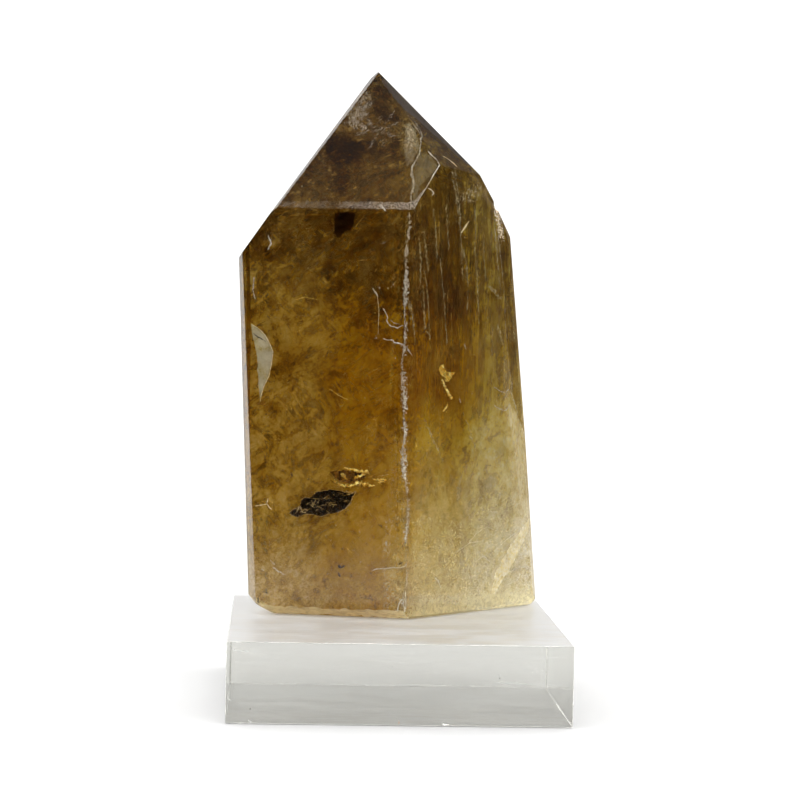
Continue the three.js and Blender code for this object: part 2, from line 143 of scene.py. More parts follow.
    'edge_line': [[2.78, 1.01, 121.19, 0.23], [4.42, 2.52, 124.26, 0.23], [6.2, 4.15, 127.12, 0.23], [7.73, 5.56, 129.85, 0.23], [9.46, 7.1, 132.68, 0.23], [8.83, 8.39, 133.96, 0.21], [7.41, 9.35, 135.39, 0.34], [6.68, 10.11, 136.3, 0.23]],
    'peak': [[5.7, 7.16, 69.13], [6.54, 7.84, 67.6], [7.66, 8.75, 65.54], [9.08, 9.89, 61.96], [10.22, 10.8, 59.38], [7.49, 8.48, 61.01], [4.84, 6.16, 60.61], [2.98, 4.55, 60.69], [3.96, 5.5, 64.16], [4.95, 6.45, 67.14]],
    'crack_wall': [[-1.64, 1.58, 87.43], [1.04, 1.15, 89.24], [1.14, 0.91, 78.8], [1.61, 0.62, 68.86], [1.63, 0.35, 56.4], [2.41, 0.05, 48.95], [2.88, -0.24, 38.99], [2.28, -0.28, 32.47], [1.26, -0.07, 33.93], [0.3, 0.32, 43.88], [-1.09, 0.82, 56.31], [-1.6, 1.18, 68.76], [-1.94, 1.45, 78.71]],
    'shoulder_patch': [[18.24, 8.3, 126.56], [20.18, 13.85, 128.89], [21.97, 16.83, 129.6], [23.42, 15.38, 127.53], [24.44, 11.84, 124.35], [22.91, 8.82, 123.43], [20.71, 6.96, 123.8], [19.09, 5.79, 124.21]],
    'right_haze': [[28.85, 24.1, 73.84], [30.9, 25.83, 71.98], [32.99, 27.56, 69.06], [34.81, 29.05, 65.86], [35.67, 29.48, 54.8], [36.57, 29.9, 42.12], [34.83, 28.38, 41.71], [32.95, 26.91, 47.6], [30.9, 25.49, 60.25], [29.56, 24.56, 68.11]],
    'u1': [[11.1, 9.68, 122.84, 0.42], [12.18, 10.29, 111.55, 0.36]],
    'u2': [[13.19, 12.42, 131.83, 0.47], [14.49, 13.29, 123.06, 0.57], [16.04, 14.09, 104.1, 0.36]],
    'u3': [[3.82, 4.44, 114.46, 0.36], [4.49, 4.84, 108.25, 0.47], [4.39, 4.55, 101.26, 0.26]],
    'u4': [[5.46, 6.29, 106.29, 0.36], [6.43, 6.92, 98.8, 0.42], [7.2, 7.3, 88.77, 0.26]],
    'u5': [[19.01, 16.57, 123.32, 0.47], [19.5, 16.74, 114.41, 0.31]],
    'u6': [[24.26, 21.71, 120.3, 0.42], [24.96, 22.15, 114.67, 0.62], [26.41, 23.04, 101.82, 0.47]],
    'u7': [[5.1, 5.6, 116.27, 0.26], [6.08, 6.22, 108.31, 0.52], [6.67, 6.67, 105.83, 0.26]],
    'u8': [[5.02, 5.8, 102.53, 0.31], [5.81, 6.16, 91.27, 0.52], [7.44, 7.54, 89.78, 0.26]],
    'u9': [[15.68, 13.38, 112.97, 0.42], [16.88, 14.3, 108.7, 0.78], [17.57, 14.73, 102.87, 0.52], [17.45, 14.44, 96.5, 0.36]],
    'u10': [[12.38, 11.71, 131.77, 0.36], [13.62, 12.6, 125.29, 0.52], [14.28, 13.03, 120.52, 0.52]],
    'u11': [[22.59, 20.42, 103.01, 0.62], [24.6, 22.12, 101.26, 1.04], [26.91, 24.07, 99.24, 0.62]],
    'u12': [[25.52, 23.34, 92.74, 0.62], [27.35, 24.78, 87.58, 0.78], [28.43, 25.46, 78.48, 0.52]],
    'u13': [[26.28, 22.57, 112.14, 0.31], [28.3, 23.95, 99.28, 0.52], [30.34, 25.35, 86.32, 0.36]],
    'u14': [[9.65, 8.71, 110.2, 0.26], [10.99, 9.56, 98.91, 0.39], [12.07, 10.17, 87.55, 0.26]],
    'u15': [[18.69, 17.36, 114.4, 0.31], [19.74, 18.01, 105.49, 0.47], [20.6, 18.4, 92.7, 0.26]],
    'u16': [[16.57, 14.92, 70.44, 0.26], [18.03, 16.09, 67.08, 0.62], [19.23, 17.02, 63.2, 0.68], [20.7, 18.21, 60.06, 0.36]],
    'u17': [[6.46, 4.11, 69.27, 0.36], [8.15, 5.46, 65.45, 0.68], [10.11, 7.06, 61.6, 0.52], [11.81, 8.44, 58.0, 0.26]],
    'u18': [[17.19, 13.7, 55.67, 0.26], [15.93, 12.47, 50.64, 0.52], [15.75, 12.2, 46.82, 0.26]],
    'u19': [[28.05, 25.06, 99.27, 0.52], [29.91, 26.51, 93.58, 0.78], [30.63, 26.97, 87.6, 0.39]],
    'u20': [[21.06, 20.08, 114.52, 0.26], [21.45, 20.29, 109.91, 0.42], [22.15, 20.73, 104.28, 0.26]],
    'u21': [[7.64, 6.64, 121.88, 0.31], [8.58, 7.28, 115.92, 0.47], [9.02, 7.45, 108.41, 0.26]],
    'u22': [[1.95, 1.7, 98.71, 0.31], [2.85, 2.34, 93.75, 0.52], [3.79, 2.97, 87.53, 0.26]],
    'w1': [[25.35, 21.27, 76.75, 0.42], [27.07, 22.74, 75.69, 0.42], [28.51, 23.97, 75.14, 0.42], [29.63, 24.97, 76.17, 0.36]],
    'w2': [[30.22, 25.47, 75.38, 0.52], [31.15, 26.2, 72.75, 0.52], [32.38, 27.17, 69.59, 0.42]],
    'w3': [[25.46, 21.23, 72.09, 0.36], [27.19, 22.7, 71.02, 0.52], [28.91, 24.19, 70.46, 0.52], [30.0, 25.2, 72.52, 0.42]],
    'w4': [[24.13, 19.32, 45.53, 0.26], [25.57, 20.54, 44.41, 0.31], [27.56, 22.26, 44.28, 0.26]],
    'w5': [[15.68, 12.79, 74.09, 0.36], [16.26, 13.25, 72.8, 0.36]],
    'w6': [[32.12, 27.58, 91.53, 0.36], [32.51, 27.8, 87.62, 0.42], [32.55, 27.79, 85.79, 0.31]],
    'w7': [[21.93, 17.02, 32.28, 0.36], [23.59, 18.49, 33.17, 0.42], [25.32, 19.95, 31.47, 0.36]],
    'w8': [[9.95, 6.52, 29.0, 0.52], [11.06, 7.45, 27.89, 0.68], [11.91, 8.13, 26.03, 0.42]],
    'w9': [[16.72, 14.09, 87.83, 0.42], [17.3, 14.56, 86.55, 0.36]],
    'w10': [[18.78, 14.4, 36.39, 0.21], [21.48, 16.84, 39.27, 0.21], [24.25, 19.28, 40.61, 0.21], [27.11, 21.73, 39.37, 0.21]],
    'w11': [[15.52, 11.52, 34.61, 0.21], [19.59, 15.12, 36.84, 0.23], [22.65, 17.79, 37.12, 0.21]],
    'w12': [[25.0, 19.71, 33.06, 0.21], [29.45, 23.69, 36.59, 0.26], [34.28, 27.97, 39.64, 0.21]],
    'w13': [[27.33, 21.66, 30.26, 0.21], [31.01, 24.9, 31.51, 0.26], [35.92, 29.18, 32.14, 0.21]],
    'w14': [[27.69, 21.88, 27.11, 0.21], [32.51, 26.13, 29.02, 0.26], [36.86, 29.92, 29.43, 0.21]],
    'y1': [[-27.94, 5.7, 72.74, 0.52], [-27.17, 5.55, 72.01, 0.68], [-26.4, 5.39, 70.78, 0.42]],
    'y2': [[-27.35, 6.06, 70.23, 0.36], [-26.62, 5.95, 71.25, 0.52]],
    'y3': [[-30.95, 7.07, 64.08, 0.52], [-29.43, 6.78, 63.12, 0.68], [-28.16, 6.54, 62.41, 0.52]],
    'y4': [[-31.6, 7.36, 48.44, 0.26], [-30.57, 7.14, 46.97, 0.26]],
    'y5': [[-29.02, 5.72, 64.69, 0.36], [-29.98, 5.85, 62.65, 0.42]],
    'y6': [[-16.74, 4.31, 76.04, 0.31], [-14.72, 3.92, 74.6, 0.47], [-12.21, 3.45, 73.42, 0.36]],
    'y7': [[-28.75, 7.0, 78.94, 0.42], [-27.73, 6.79, 77.72, 0.47], [-26.22, 6.51, 77.26, 0.26]],
    'y8': [[-25.87, 7.4, 98.04, 0.26], [-23.39, 6.98, 98.85, 0.42], [-20.13, 6.39, 98.17, 0.31]],
    'y9': [[-23.27, 5.46, 100.11, 0.26], [-22.46, 5.26, 97.39, 0.47], [-21.67, 5.08, 95.16, 0.26]],
    'y10': [[-10.54, 2.49, 41.73, 0.52], [-9.07, 2.25, 42.78, 0.78], [-7.6, 2.01, 43.58, 0.52]],
    'y11': [[-9.25, 2.75, 41.23, 0.52], [-9.7, 2.79, 39.21, 0.62], [-9.89, 2.77, 36.45, 0.52]],
    'y12': [[-11.59, 3.57, 36.35, 0.78], [-10.57, 3.37, 35.38, 0.68]],
    'y13': [[-5.71, 1.71, 69.14, 0.42], [-4.94, 1.54, 67.67, 0.42]],
    'y14': [[-7.6, 2.5, 66.82, 0.42], [-6.85, 2.36, 66.34, 0.31]],
    'y15': [[-5.3, 1.84, 31.11, 0.62], [-4.02, 1.58, 29.41, 0.78], [-4.45, 1.59, 26.14, 0.62]],
    'y16': [[4.46, 1.31, 62.9, 0.52], [5.47, 1.11, 61.93, 0.62]],
    'y17': [[2.68, 0.48, 80.84, 0.62], [3.47, 0.3, 78.87, 0.73], [3.01, 0.35, 77.36, 0.42]],
    'y18': [[-24.11, 6.0, 94.34, 0.26], [-24.55, 6.02, 91.83, 0.47], [-25.25, 6.09, 89.32, 0.26]],
    'm1': [[-30.11, 4.59, 31.06, 0.52], [-28.84, 4.35, 30.11, 0.62], [-27.32, 4.06, 29.16, 0.52]],
    'm2': [[-33.11, 5.11, 30.45, 0.62], [-32.35, 4.96, 29.97, 0.52]],
    'm3': [[-1.8, 1.12, 102.72, 0.47], [-1.54, 1.07, 102.35, 0.47]],
    'm4': [[-4.49, 1.82, 112.96, 0.31], [-4.23, 1.76, 112.6, 0.31]],
    'm5': [[-5.71, 1.53, 89.33, 0.34], [-5.58, 1.5, 88.96, 0.34]],
    'm6': [[-5.24, 1.71, 101.77, 0.36], [-4.98, 1.65, 101.28, 0.42]],
    'm7': [[-33.08, 6.88, 114.13, 0.42], [-32.29, 6.7, 112.15, 0.52], [-33.0, 6.79, 110.39, 0.36]],
    'm8': [[-36.36, 7.24, 103.57, 0.31], [-36.55, 7.2, 100.31, 0.42], [-36.0, 7.05, 97.83, 0.31]],
    'm9': [[-30.9, 4.77, 32.79, 0.31], [-29.62, 4.52, 31.58, 0.36]],
    'm10': [[-5.7, 1.76, 100.27, 0.26], [-5.11, 1.57, 96.06, 0.23], [-5.22, 1.45, 89.84, 0.23]],
    'm11': [[-2.26, -0.16, 38.61, 0.68], [-1.86, -0.25, 37.5, 0.73]],
    'k1': [[-36.13, 7.45, 110.7, 0.42], [-35.87, 7.4, 110.46, 0.42]],
    'k2': [[-35.25, 7.29, 110.39, 0.42], [-34.99, 7.24, 110.22, 0.42]],
    'k3': [[15.19, 12.42, 108.38, 0.47], [15.6, 12.77, 108.14, 0.47]],
    'k4': [[-25.98, 4.47, 55.04, 0.42], [-25.82, 4.42, 53.54, 0.36]],
    'k5': [[-3.7, 0.28, 42.55, 0.42], [-2.94, 0.13, 41.83, 0.42]],
    'k6': [[-13.9, 1.86, 32.17, 0.78], [-12.89, 1.67, 31.46, 1.04], [-12.16, 1.55, 32.24, 0.62]],
    'k7': [[-13.86, 1.82, 30.42, 0.62], [-13.34, 1.7, 29.19, 0.68]],
    'k8': [[7.21, 6.0, 126.59, 0.26], [7.61, 6.35, 126.37, 0.26]],
    'k9': [[2.3, -0.72, 45.25, 0.62], [1.96, -0.69, 44.0, 0.78], [2.49, -0.81, 42.52, 0.62]],
    'k10': [[1.94, -0.91, 33.52, 0.78], [1.22, -0.79, 32.74, 0.52]],
}


def normal_of(name):
    az, lean, _ = FACES[name]
    a, l = math.radians(az), math.radians(lean)
    return Vector((math.sin(a) * math.cos(l), -math.cos(a) * math.cos(l), math.sin(l)))


PLANES = {n: (normal_of(n), FACES[n][2] + normal_of(n).dot(FOOT)) for n in FACES}   # mm, object frame


def inside(p, inset=0.0):
    return all(n.dot(p) < d - inset for n, d in PLANES.values())


def link(ob):
    bpy.context.scene.collection.objects.link(ob)
    return ob


def mesh_object(name, bm, materials=(), smooth=False):
    me = bpy.data.meshes.new(name)
    bm.to_mesh(me)
    bm.free()
    for m in materials:
        me.materials.append(m)
    if smooth:
        for p in me.polygons:
            p.use_smooth = True
    return link(bpy.data.objects.new(name, me))


def from_lists(name, verts, faces, mats, smooth=False, index=None):
    """A mesh object from lists of points in mm and faces."""
    me = bpy.data.meshes.new(name)
    me.from_pydata([tuple(c * 0.001 for c in v) for v in verts], [], faces)
    for m in mats:
        me.materials.append(m)
    for k, p in enumerate(me.polygons):
        p.use_smooth = smooth
        if index:
            p.material_index = index[k]
    me.update()
    return link(bpy.data.objects.new(name, me))


def keep(ob):
    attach(ob, "root")
    return ob


# ------------------------------------------------------------------ shader short-hand
class Nodes:
    """Short-hand for building a node tree: inputs take numbers, colours or other nodes' outputs."""

    def __init__(self, tree):
        self.t = tree
        tree.nodes.clear()
        self._xyz = None

    def put(self, socket, v):
        if isinstance(v, bpy.types.NodeSocket):
            self.t.links.new(v, socket)
        elif socket.type == "RGBA" and len(v) == 3:
            socket.default_value = (*v, 1)
        else:
            socket.default_value = v

    def add(self, kind, out=0, ins=None, **props):
        n = self.t.nodes.new(kind)
        for k, v in props.items():
            setattr(n, k, v)
        for k, v in (ins or {}).items():
            self.put(n.inputs[k], v)
        return n if out is None else n.outputs[out]

    def math(self, op, a, b=0.0, c=None, clamp=False):
        ins = {0: a, 1: b}
        if c is not None:
            ins[2] = c
        return self.add("ShaderNodeMath", 0, ins, operation=op, use_clamp=clamp)

    def mul(self, a, b): return self.math("MULTIPLY", a, b)
    def plus(self, a, b): return self.math("ADD", a, b)
    def minus(self, a, b): return self.math("SUBTRACT", a, b)
    def top(self, a, b): return self.math("MAXIMUM", a, b)

    def total(self, *v):
        s = v[0]
        for x in v[1:]:
            s = self.plus(s, x)
        return s

    def product(self, *v):
        s = v[0]
        for x in v[1:]:
            s = self.mul(s, x)
        return s

    def ramp(self, v, lo, hi, to=0.0, up=1.0, smooth=True):
        return self.add("ShaderNodeMapRange", 0, {0: v, 1: lo, 2: hi, 3: to, 4: up},
                        interpolation_type="SMOOTHSTEP" if smooth else "LINEAR")

    def bump_at(self, v, mid, half):
        """1 at mid, falling to 0 at mid - half and mid + half."""
        return self.ramp(self.math("ABSOLUTE", self.minus(v, mid)), 0.0, half, 1.0, 0.0)

    def mix(self, f, a, b, blend="MIX"):
        return self.add("ShaderNodeMix", 2, {0: f, 6: a, 7: b}, data_type="RGBA", blend_type=blend)

    def mixf(self, f, a, b):
        return self.add("ShaderNodeMix", 0, {0: f, 2: a, 3: b}, data_type="FLOAT")

    def shaders(self, f, a, b):
        return self.add("ShaderNodeMixShader", 0, {0: f, 1: a, 2: b})

    def point(self, scale=(1, 1, 1), turn=(0, 0, 0), shift=(0, 0, 0)):
        """Object coordinates in millimetres: scaled, then turned (degrees), then shifted."""
        c = self.add("ShaderNodeTexCoord", "Object")
        return self.add("ShaderNodeMapping", 0, {0: c, 1: shift, 2: [math.radians(a) for a in turn],
                                                 3: [1000 * s for s in scale]})

    def along(self, stretch, tilt, shift=(0, 0, 0), thin=1.0):
        """Object coordinates in mm for a grain drawn out stretch times along a line tilted from upright in the XZ plane."""
        c = self.add("ShaderNodeTexCoord", "Object")
        return self.add("ShaderNodeMapping", 0, {0: c, 1: [0.001 * s for s in shift], 2: (0.0, math.radians(tilt), 0.0),
                                                 3: (0.001 / thin, 0.001, 0.001 * stretch)}, vector_type="TEXTURE")

    def noise(self, p, scale, detail=4, rough=0.55, warp=0.0, out=0):
        return self.add("ShaderNodeTexNoise", out, {"Vector": p, "Scale": scale, "Detail": detail,
                                                     "Roughness": rough, "Distortion": warp})

    def ridge(self, p, scale, detail=3, rough=0.5, warp=0.0, width=0.08):
        """Thin wandering lines, where a noise crosses its middle value."""
        v = self.noise(p, scale, detail, rough, warp)
        return self.ramp(self.math("ABSOLUTE", self.minus(v, 0.5)), 0.0, width, 1.0, 0.0)

    def split(self, p):
        n = self.add("ShaderNodeSeparateXYZ", None, {0: p})
        return n.outputs[0], n.outputs[1], n.outputs[2]

    def xyz(self):
        """x, y, z of the object's own coordinates in mm."""
        if self._xyz is None:
            self._xyz = self.split(self.point())
        return self._xyz

    def rim(self):
        """1 in the middle of a patch, falling raggedly to 0 at its outline."""
        edge = self.add("ShaderNodeAttribute", 2, attribute_name="rim")
        ragged = self.noise(self.point(shift=(9, 9, 9)), 1.1, 5, 0.75, 0.8)
        return self.ramp(self.minus(ragged, self.mul(edge, 0.9)), 0.0, 0.22)

    def tint(self, smoky, golden):
        """What is left of white light after that much of the stone's smoky and golden colour."""
        parts = []
        for a, b in ((1.0, 0.13), (1.2, 0.25), (1.45, 1.0)):
            e = self.plus(self.mul(smoky, -a), self.mul(golden, -b))
            parts.append(self.math("EXPONENT", e))
        return self.add("ShaderNodeCombineColor", 0, {0: parts[0], 1: parts[1], 2: parts[2]})

    def out(self, surface, volume=None, bump=None):
        ins = {0: surface}
        if volume is not None:
            ins[1] = volume
        self.add("ShaderNodeOutputMaterial", None, ins)


def material(name):
    m = bpy.data.materials.new(name)
    m.use_nodes = True
    return m, Nodes(m.node_tree)


# ------------------------------------------------------------------ camera, world, floor
def make_camera():
    cam = bpy.data.cameras.new("camera")
    cam.sensor_width = 36.0
    cam.lens = 101.25
    cam.clip_start, cam.clip_end = 0.01, 50
    ob = link(bpy.data.objects.new("camera", cam))
    yaw, pitch, roll = (math.radians(v) for v in (3.0642, 2.5858, 1.3258))
    f = Vector((math.sin(yaw) * math.cos(pitch), math.cos(yaw) * math.cos(pitch), -math.sin(pitch)))
    r0 = Vector((math.cos(yaw), -math.sin(yaw), 0))
    u0 = r0.cross(f)
    r = math.cos(roll) * r0 + math.sin(roll) * u0
    u = -math.sin(roll) * r0 + math.cos(roll) * u0
    m = Matrix((r, u, -f)).transposed().to_4x4()
    m.translation = Vector((-0.029366, -0.558238, 0.09908))
    ob.matrix_world = m
    bpy.context.scene.camera = ob


def make_world():
    w = bpy.data.worlds.new("studio")
    bpy.context.scene.world = w
    w.use_nodes = True
    w.cycles.sampling_method = "NONE"
    n = Nodes(w.node_tree)
    x, y, z = n.split(n.add("ShaderNodeTexCoord", "Generated"))
    path = n.add("ShaderNodeLightPath", None)
    refl = n.product(path.outputs["Is Glossy Ray"], n.minus(1.0, path.outputs["Is Transmission Ray"]),
                     n.minus(1.0, path.outputs["Is Diffuse Ray"]))
    # what polished surfaces mirror: a dark flag in front, grey at the left, soft boxes behind, above and right
    back = n.mul(n.ramp(y, 0.5, 0.96, 0.0, 1.0), n.ramp(z, -0.03, 0.02))
    left = n.mul(n.ramp(n.mul(x, -1.0), 0.4, 0.9), 0.6)
    right = n.mul(n.ramp(x, 0.55, 0.98), 0.035)
    ground = n.product(n.ramp(z, 0.0, -0.35), n.ramp(n.mul(y, -1.0), 0.6, 0.2), 0.85)
    up = n.mul(n.ramp(z, 0.4, 1.0), 0.2)
    strip = n.total(n.mul(x, -0.52), n.mul(y, 0.64), n.mul(z, 0.57))     # a small box that lights the narrow slope facet
    side = n.total(n.mul(x, -0.67), n.mul(y, 0.74), n.mul(z, -0.08))     # and one for the narrow upright face at the left
    level = n.total(n.mul(n.ramp(side, 0.9, 0.985), 1.5), n.top(n.top(n.top(back, left), n.top(right, up)), ground), 0.01, n.mul(n.ramp(strip, 0.965, 0.99), 1.7))
    # the studio is brighter for what is sealed in the stone, which is lit from all round
    inner = n.mul(path.outputs["Is Transmission Ray"], n.math("GREATER_THAN", path.outputs["Diffuse Depth"], 0.5))
    plain = n.total(1.25, n.mul(path.outputs["Is Diffuse Ray"], 0.1), n.mul(inner, 0.95))
    strength = n.mixf(refl, plain, level)
    n.add("ShaderNodeOutputWorld", None, {0: n.add("ShaderNodeBackground", 0, {0: (1, 1, 1), 1: strength})})


def make_floor():
    bm = bmesh.new()
    bmesh.ops.create_circle(bm, cap_ends=True, segments=96, radius=0.42)
    m, n = material("studio_floor")
    c = n.mix(n.noise(n.point(), 0.02, 2), (0.93, 0.93, 0.93), (0.95, 0.95, 0.945))
    n.out(n.add("ShaderNodeBsdfDiffuse", 0, {0: c}))
    floor = mesh_object("floor", bm, [m])
    floor.location.z = -0.0002


# ------------------------------------------------------------------ the stone
def convex(planes):
    """Corners (mm) and the ring of corners of each face of the convex body bounded by the planes."""
    names = list(planes)
    corners = []
    for i in range(len(names)):
        for j in range(i + 1, len(names)):
            for k in range(j + 1, len(names)):
                (a, da), (b, db), (c, dc) = planes[names[i]], planes[names[j]], planes[names[k]]
                det = a.dot(b.cross(c))
                if abs(det) < 1e-7:
                    continue
                p = (b.cross(c) * da + c.cross(a) * db + a.cross(b) * dc) / det
                if any(q.dot(p) > e + 1e-4 for q, e in planes.values()):
                    continue
                hit = next((v for v in corners if (v[0] - p).length < 1e-3), None)
                if hit is None:
                    hit = (p, set())
                    corners.append(hit)
                hit[1].update((i, j, k))
    rings = {}
    for f, name in enumerate(names):
        ring = [n for n, v in enumerate(corners) if f in v[1]]
        if len(ring) < 3:
            continue
        mid = sum((corners[n][0] for n in ring), Vector()) / len(ring)
        nrm = planes[name][0]
        u = (corners[ring[0]][0] - mid).normalized()
        v = nrm.cross(u)
        ring.sort(key=lambda n: math.atan2((corners[n][0] - mid).dot(v), (corners[n][0] - mid).dot(u)))
        rings[name] = ring
    return [c[0] for c in corners], rings


CORNERS, RINGS = convex(PLANES)


def worn_edge():
    """The narrow rubbed flat along the upright front edge, where the fracture comes out."""
    lo_, hi_ = edge_between("front", "right_front")
    along = (hi_ - lo_).normalized()
    m = PLANES["front"][0] + PLANES["right_front"][0]
    m = (m - along * m.dot(along)).normalized()
    return m, m.dot(lo_) - 0.32


def edge_between(a, b):
    """The two corners that faces a and b share, lowest first."""
    both = [CORNERS[i] for i in RINGS[a] if i in RINGS[b]]
    return sorted(both, key=lambda p: p.z)[:2]


# How much of its colour the stone shows on the way out of each face: smoky, golden. The two
# polished faces in front stay clear, so what lies just behind them keeps its own colour.
SKIN = {"left": (0.03, 0.2), "left_slope_strip": (0.05, 0.15), "right": (0.3, 0.8), "right_point": (0.55, 0.75),
        "left_point": (0.5, 0.6), "left_back_point": (0.9, 0.8), "back_point": (0.9, 0.8), "foot": (0.05, 0.15),
        "back_bevel": (0.1, 0.3), "left_back_bevel": (0.1, 0.3), "left_bevel": (0.05, 0.2), "right_bevel": (0.05, 0.15)}


# ground rather than polished: how frosted each face of the foot is
FROST = {"front_bevel": 0.3, "right_front_bevel": 0.35, "left_bevel": 0.5, "back_bevel": 0.8, "left_back_bevel": 0.8,
         "right_bevel": 0.7, "foot": 0.6}


def stone_material():
    m, n = material("citrine")
    x, y, z = n.xyz()
    p = n.point()
    soft = n.minus(n.noise(p, 0.06, 2, 0.5), 0.5)
    zz = n.plus(z, n.mul(soft, 20.0))
    xx = n.plus(x, n.mul(soft, 12.0))
    cloud = n.noise(n.point((1, 1, 0.6), (0, 20, 0)), 0.16, 7, 0.66, 1.0)
    vary = n.ramp(cloud, 0.3, 0.7, 0.6, 1.4, smooth=False)
    # growth zones, smoky above and golden in the middle, seen on the rear faces
    smoky = n.total(0.42, n.ramp(zz, 30, 52, 0, 0.25), n.ramp(zz, 55, 76, 0, 0.35), n.ramp(zz, 74, 95, 0, 0.65))
    golden = n.total(0.5, n.ramp(zz, 30, 52, 0, 0.5), n.ramp(zz, 52, 74, 0, 0.95), n.ramp(zz, 98, 118, 0, -0.7))
    golden = n.mul(golden, n.ramp(xx, 5, 22, 1.0, 0.38))
    left_third = n.product(n.ramp(xx, -4, -10), n.ramp(z, 25, 60, 0.6, 1.3))
    golden = n.plus(golden, left_third)
    deep = n.add("ShaderNodeAttribute", 2, attribute_name="deep")
    skin_s = n.add("ShaderNodeAttribute", 2, attribute_name="skin_smoky")
    skin_g = n.add("ShaderNodeAttribute", 2, attribute_name="skin_golden")
    shoulder = n.mul(n.ramp(zz, 98, 108), skin_s)
    smoky = n.mul(n.total(n.product(smoky, deep, vary), skin_s, shoulder), 2.0)
    golden = n.mul(n.total(n.product(golden, deep, vary), skin_g), 2.0)
    chip = n.add("ShaderNodeAttribute", 2, attribute_name="chip")
    colour = n.mix(chip, n.tint(smoky, golden), (0.95, 0.94, 0.91))
    rough = n.plus(n.mul(chip, 0.36), n.ramp(n.noise(n.point(turn=(0, 20, 30)), 0.4, 6, 0.7), 0.45, 0.8, 0.11, 0.18))
    polish = n.noise(n.point((1, 1, 0.25), (12, 25, 0)), 2.2, 3, 0.6)
    broken = n.noise(p, 2.6, 4, 0.7)
    height = n.mixf(chip, n.mul(polish, 0.02), broken)
    bump = n.add("ShaderNodeBump", 0, {"Strength": 0.3, "Distance": 0.0003, "Height": height})
    g = n.add("ShaderNodeBsdfPrincipled", 0, {"Base Color": colour, "Roughness": rough, "IOR": 1.544,
                                               "Transmission Weight": 1.0, "Normal": bump})
    v = n.add("ShaderNodeVolumeAbsorption", 0, {"Color": (0.617, 0.509, 0.094), "Density": 14.0})
    n.out(g, v)
    return m


def rock(rng, radius, stretch=(1, 1, 1), rough=0.22, level=1):
    """A rough little lump: points and faces, in mm, round the origin."""
    bm = bmesh.new()
    bmesh.ops.create_icosphere(bm, subdivisions=level, radius=1.0)
    turn = Matrix.Rotation(rng.uniform(0, 6.28), 3, Vector((rng.uniform(-1, 1), rng.uniform(-1, 1), rng.uniform(-1, 1))).normalized())
    s = Vector(stretch) * radius
    for v in bm.verts:
        q = turn @ v.co
        k = 1 + rng.uniform(-rough, rough)
        v.co = Vector((q.x * s.x, q.y * s.y, q.z * s.z)) * k
    verts = [v.co.copy() for v in bm.verts]
    faces = [[v.index for v in f.verts] for f in bm.faces]
    bm.free()
    return verts, faces


def bite_list():
    """Where splinters are missing: (centre, radius, stretch) in mm."""
    rng = random.Random(11)
    out = [(FOOT + Vector(b[:3]), b[3], (1.0, 1.25, 1.35), 0.12, 2) for b in BITES]

    def along(a, b, count, r0, r1, t0=0.0, t1=1.0, depth=0.35):
        lo_, hi_ = edge_between(a, b)
        out_dir = (PLANES[a][0] + PLANES[b][0]).normalized()
        for k in range(count):
            t = t0 + (t1 - t0) * (k + rng.uniform(0.05, 0.95)) / count
            r = r0 + (r1 - r0) * rng.random() ** 2.2
            c = lo_.lerp(hi_, t) + out_dir * r * depth
            out.append((c, r, (1, 1, rng.uniform(0.8, 1.9)), 0.3, 1))

    along("front", "right_front", 34, 0.3, 0.75, 0.02, 0.98)
    along("right_front", "right_edge_sliver", 14, 0.25, 0.6)
    along("right_front", "right", 12, 0.2, 0.45)
    along("right", "right_edge_sliver", 8, 0.25, 0.6)
    along("right_front", "right_front_bevel", 9, 0.2, 0.5)
    along("front", "front_bevel", 9, 0.2, 0.4)
    along("front", "left", 11, 0.16, 0.3)
    along("front_main", "right_front_point", 7, 0.2, 0.35)
    along("back", "left_back", 8, 0.2, 0.4)
    along("back", "right", 8, 0.2, 0.45)
    along("right", "right_bevel", 5, 0.2, 0.4)
    for k in range(9):     # the worn shoulder round the two large bites
        c = FOOT + Vector((26.2, 0.2, 103.8)) + Vector((rng.uniform(-0.8, 2.2), rng.uniform(-1.2, 2.6), rng.uniform(-8.0, 3.4)))
        for nme in ("right_front", "right_edge_sliver", "right_front_point"):
            n_, d_ = PLANES[nme]
            over = n_.dot(c) - d_
            if over > 0:
                c -= n_ * over
        out.append((c, rng.uniform(0.35, 0.8), (1, 1, 1.3), 0.28, 1))
    return out


def watertight(me):
    bm = bmesh.new()
    bm.from_mesh(me)
    ok = all(e.is_manifold for e in bm.edges) and len(bm.verts) > 0
    vol = bm.calc_volume()
    bm.free()
    return ok, vol


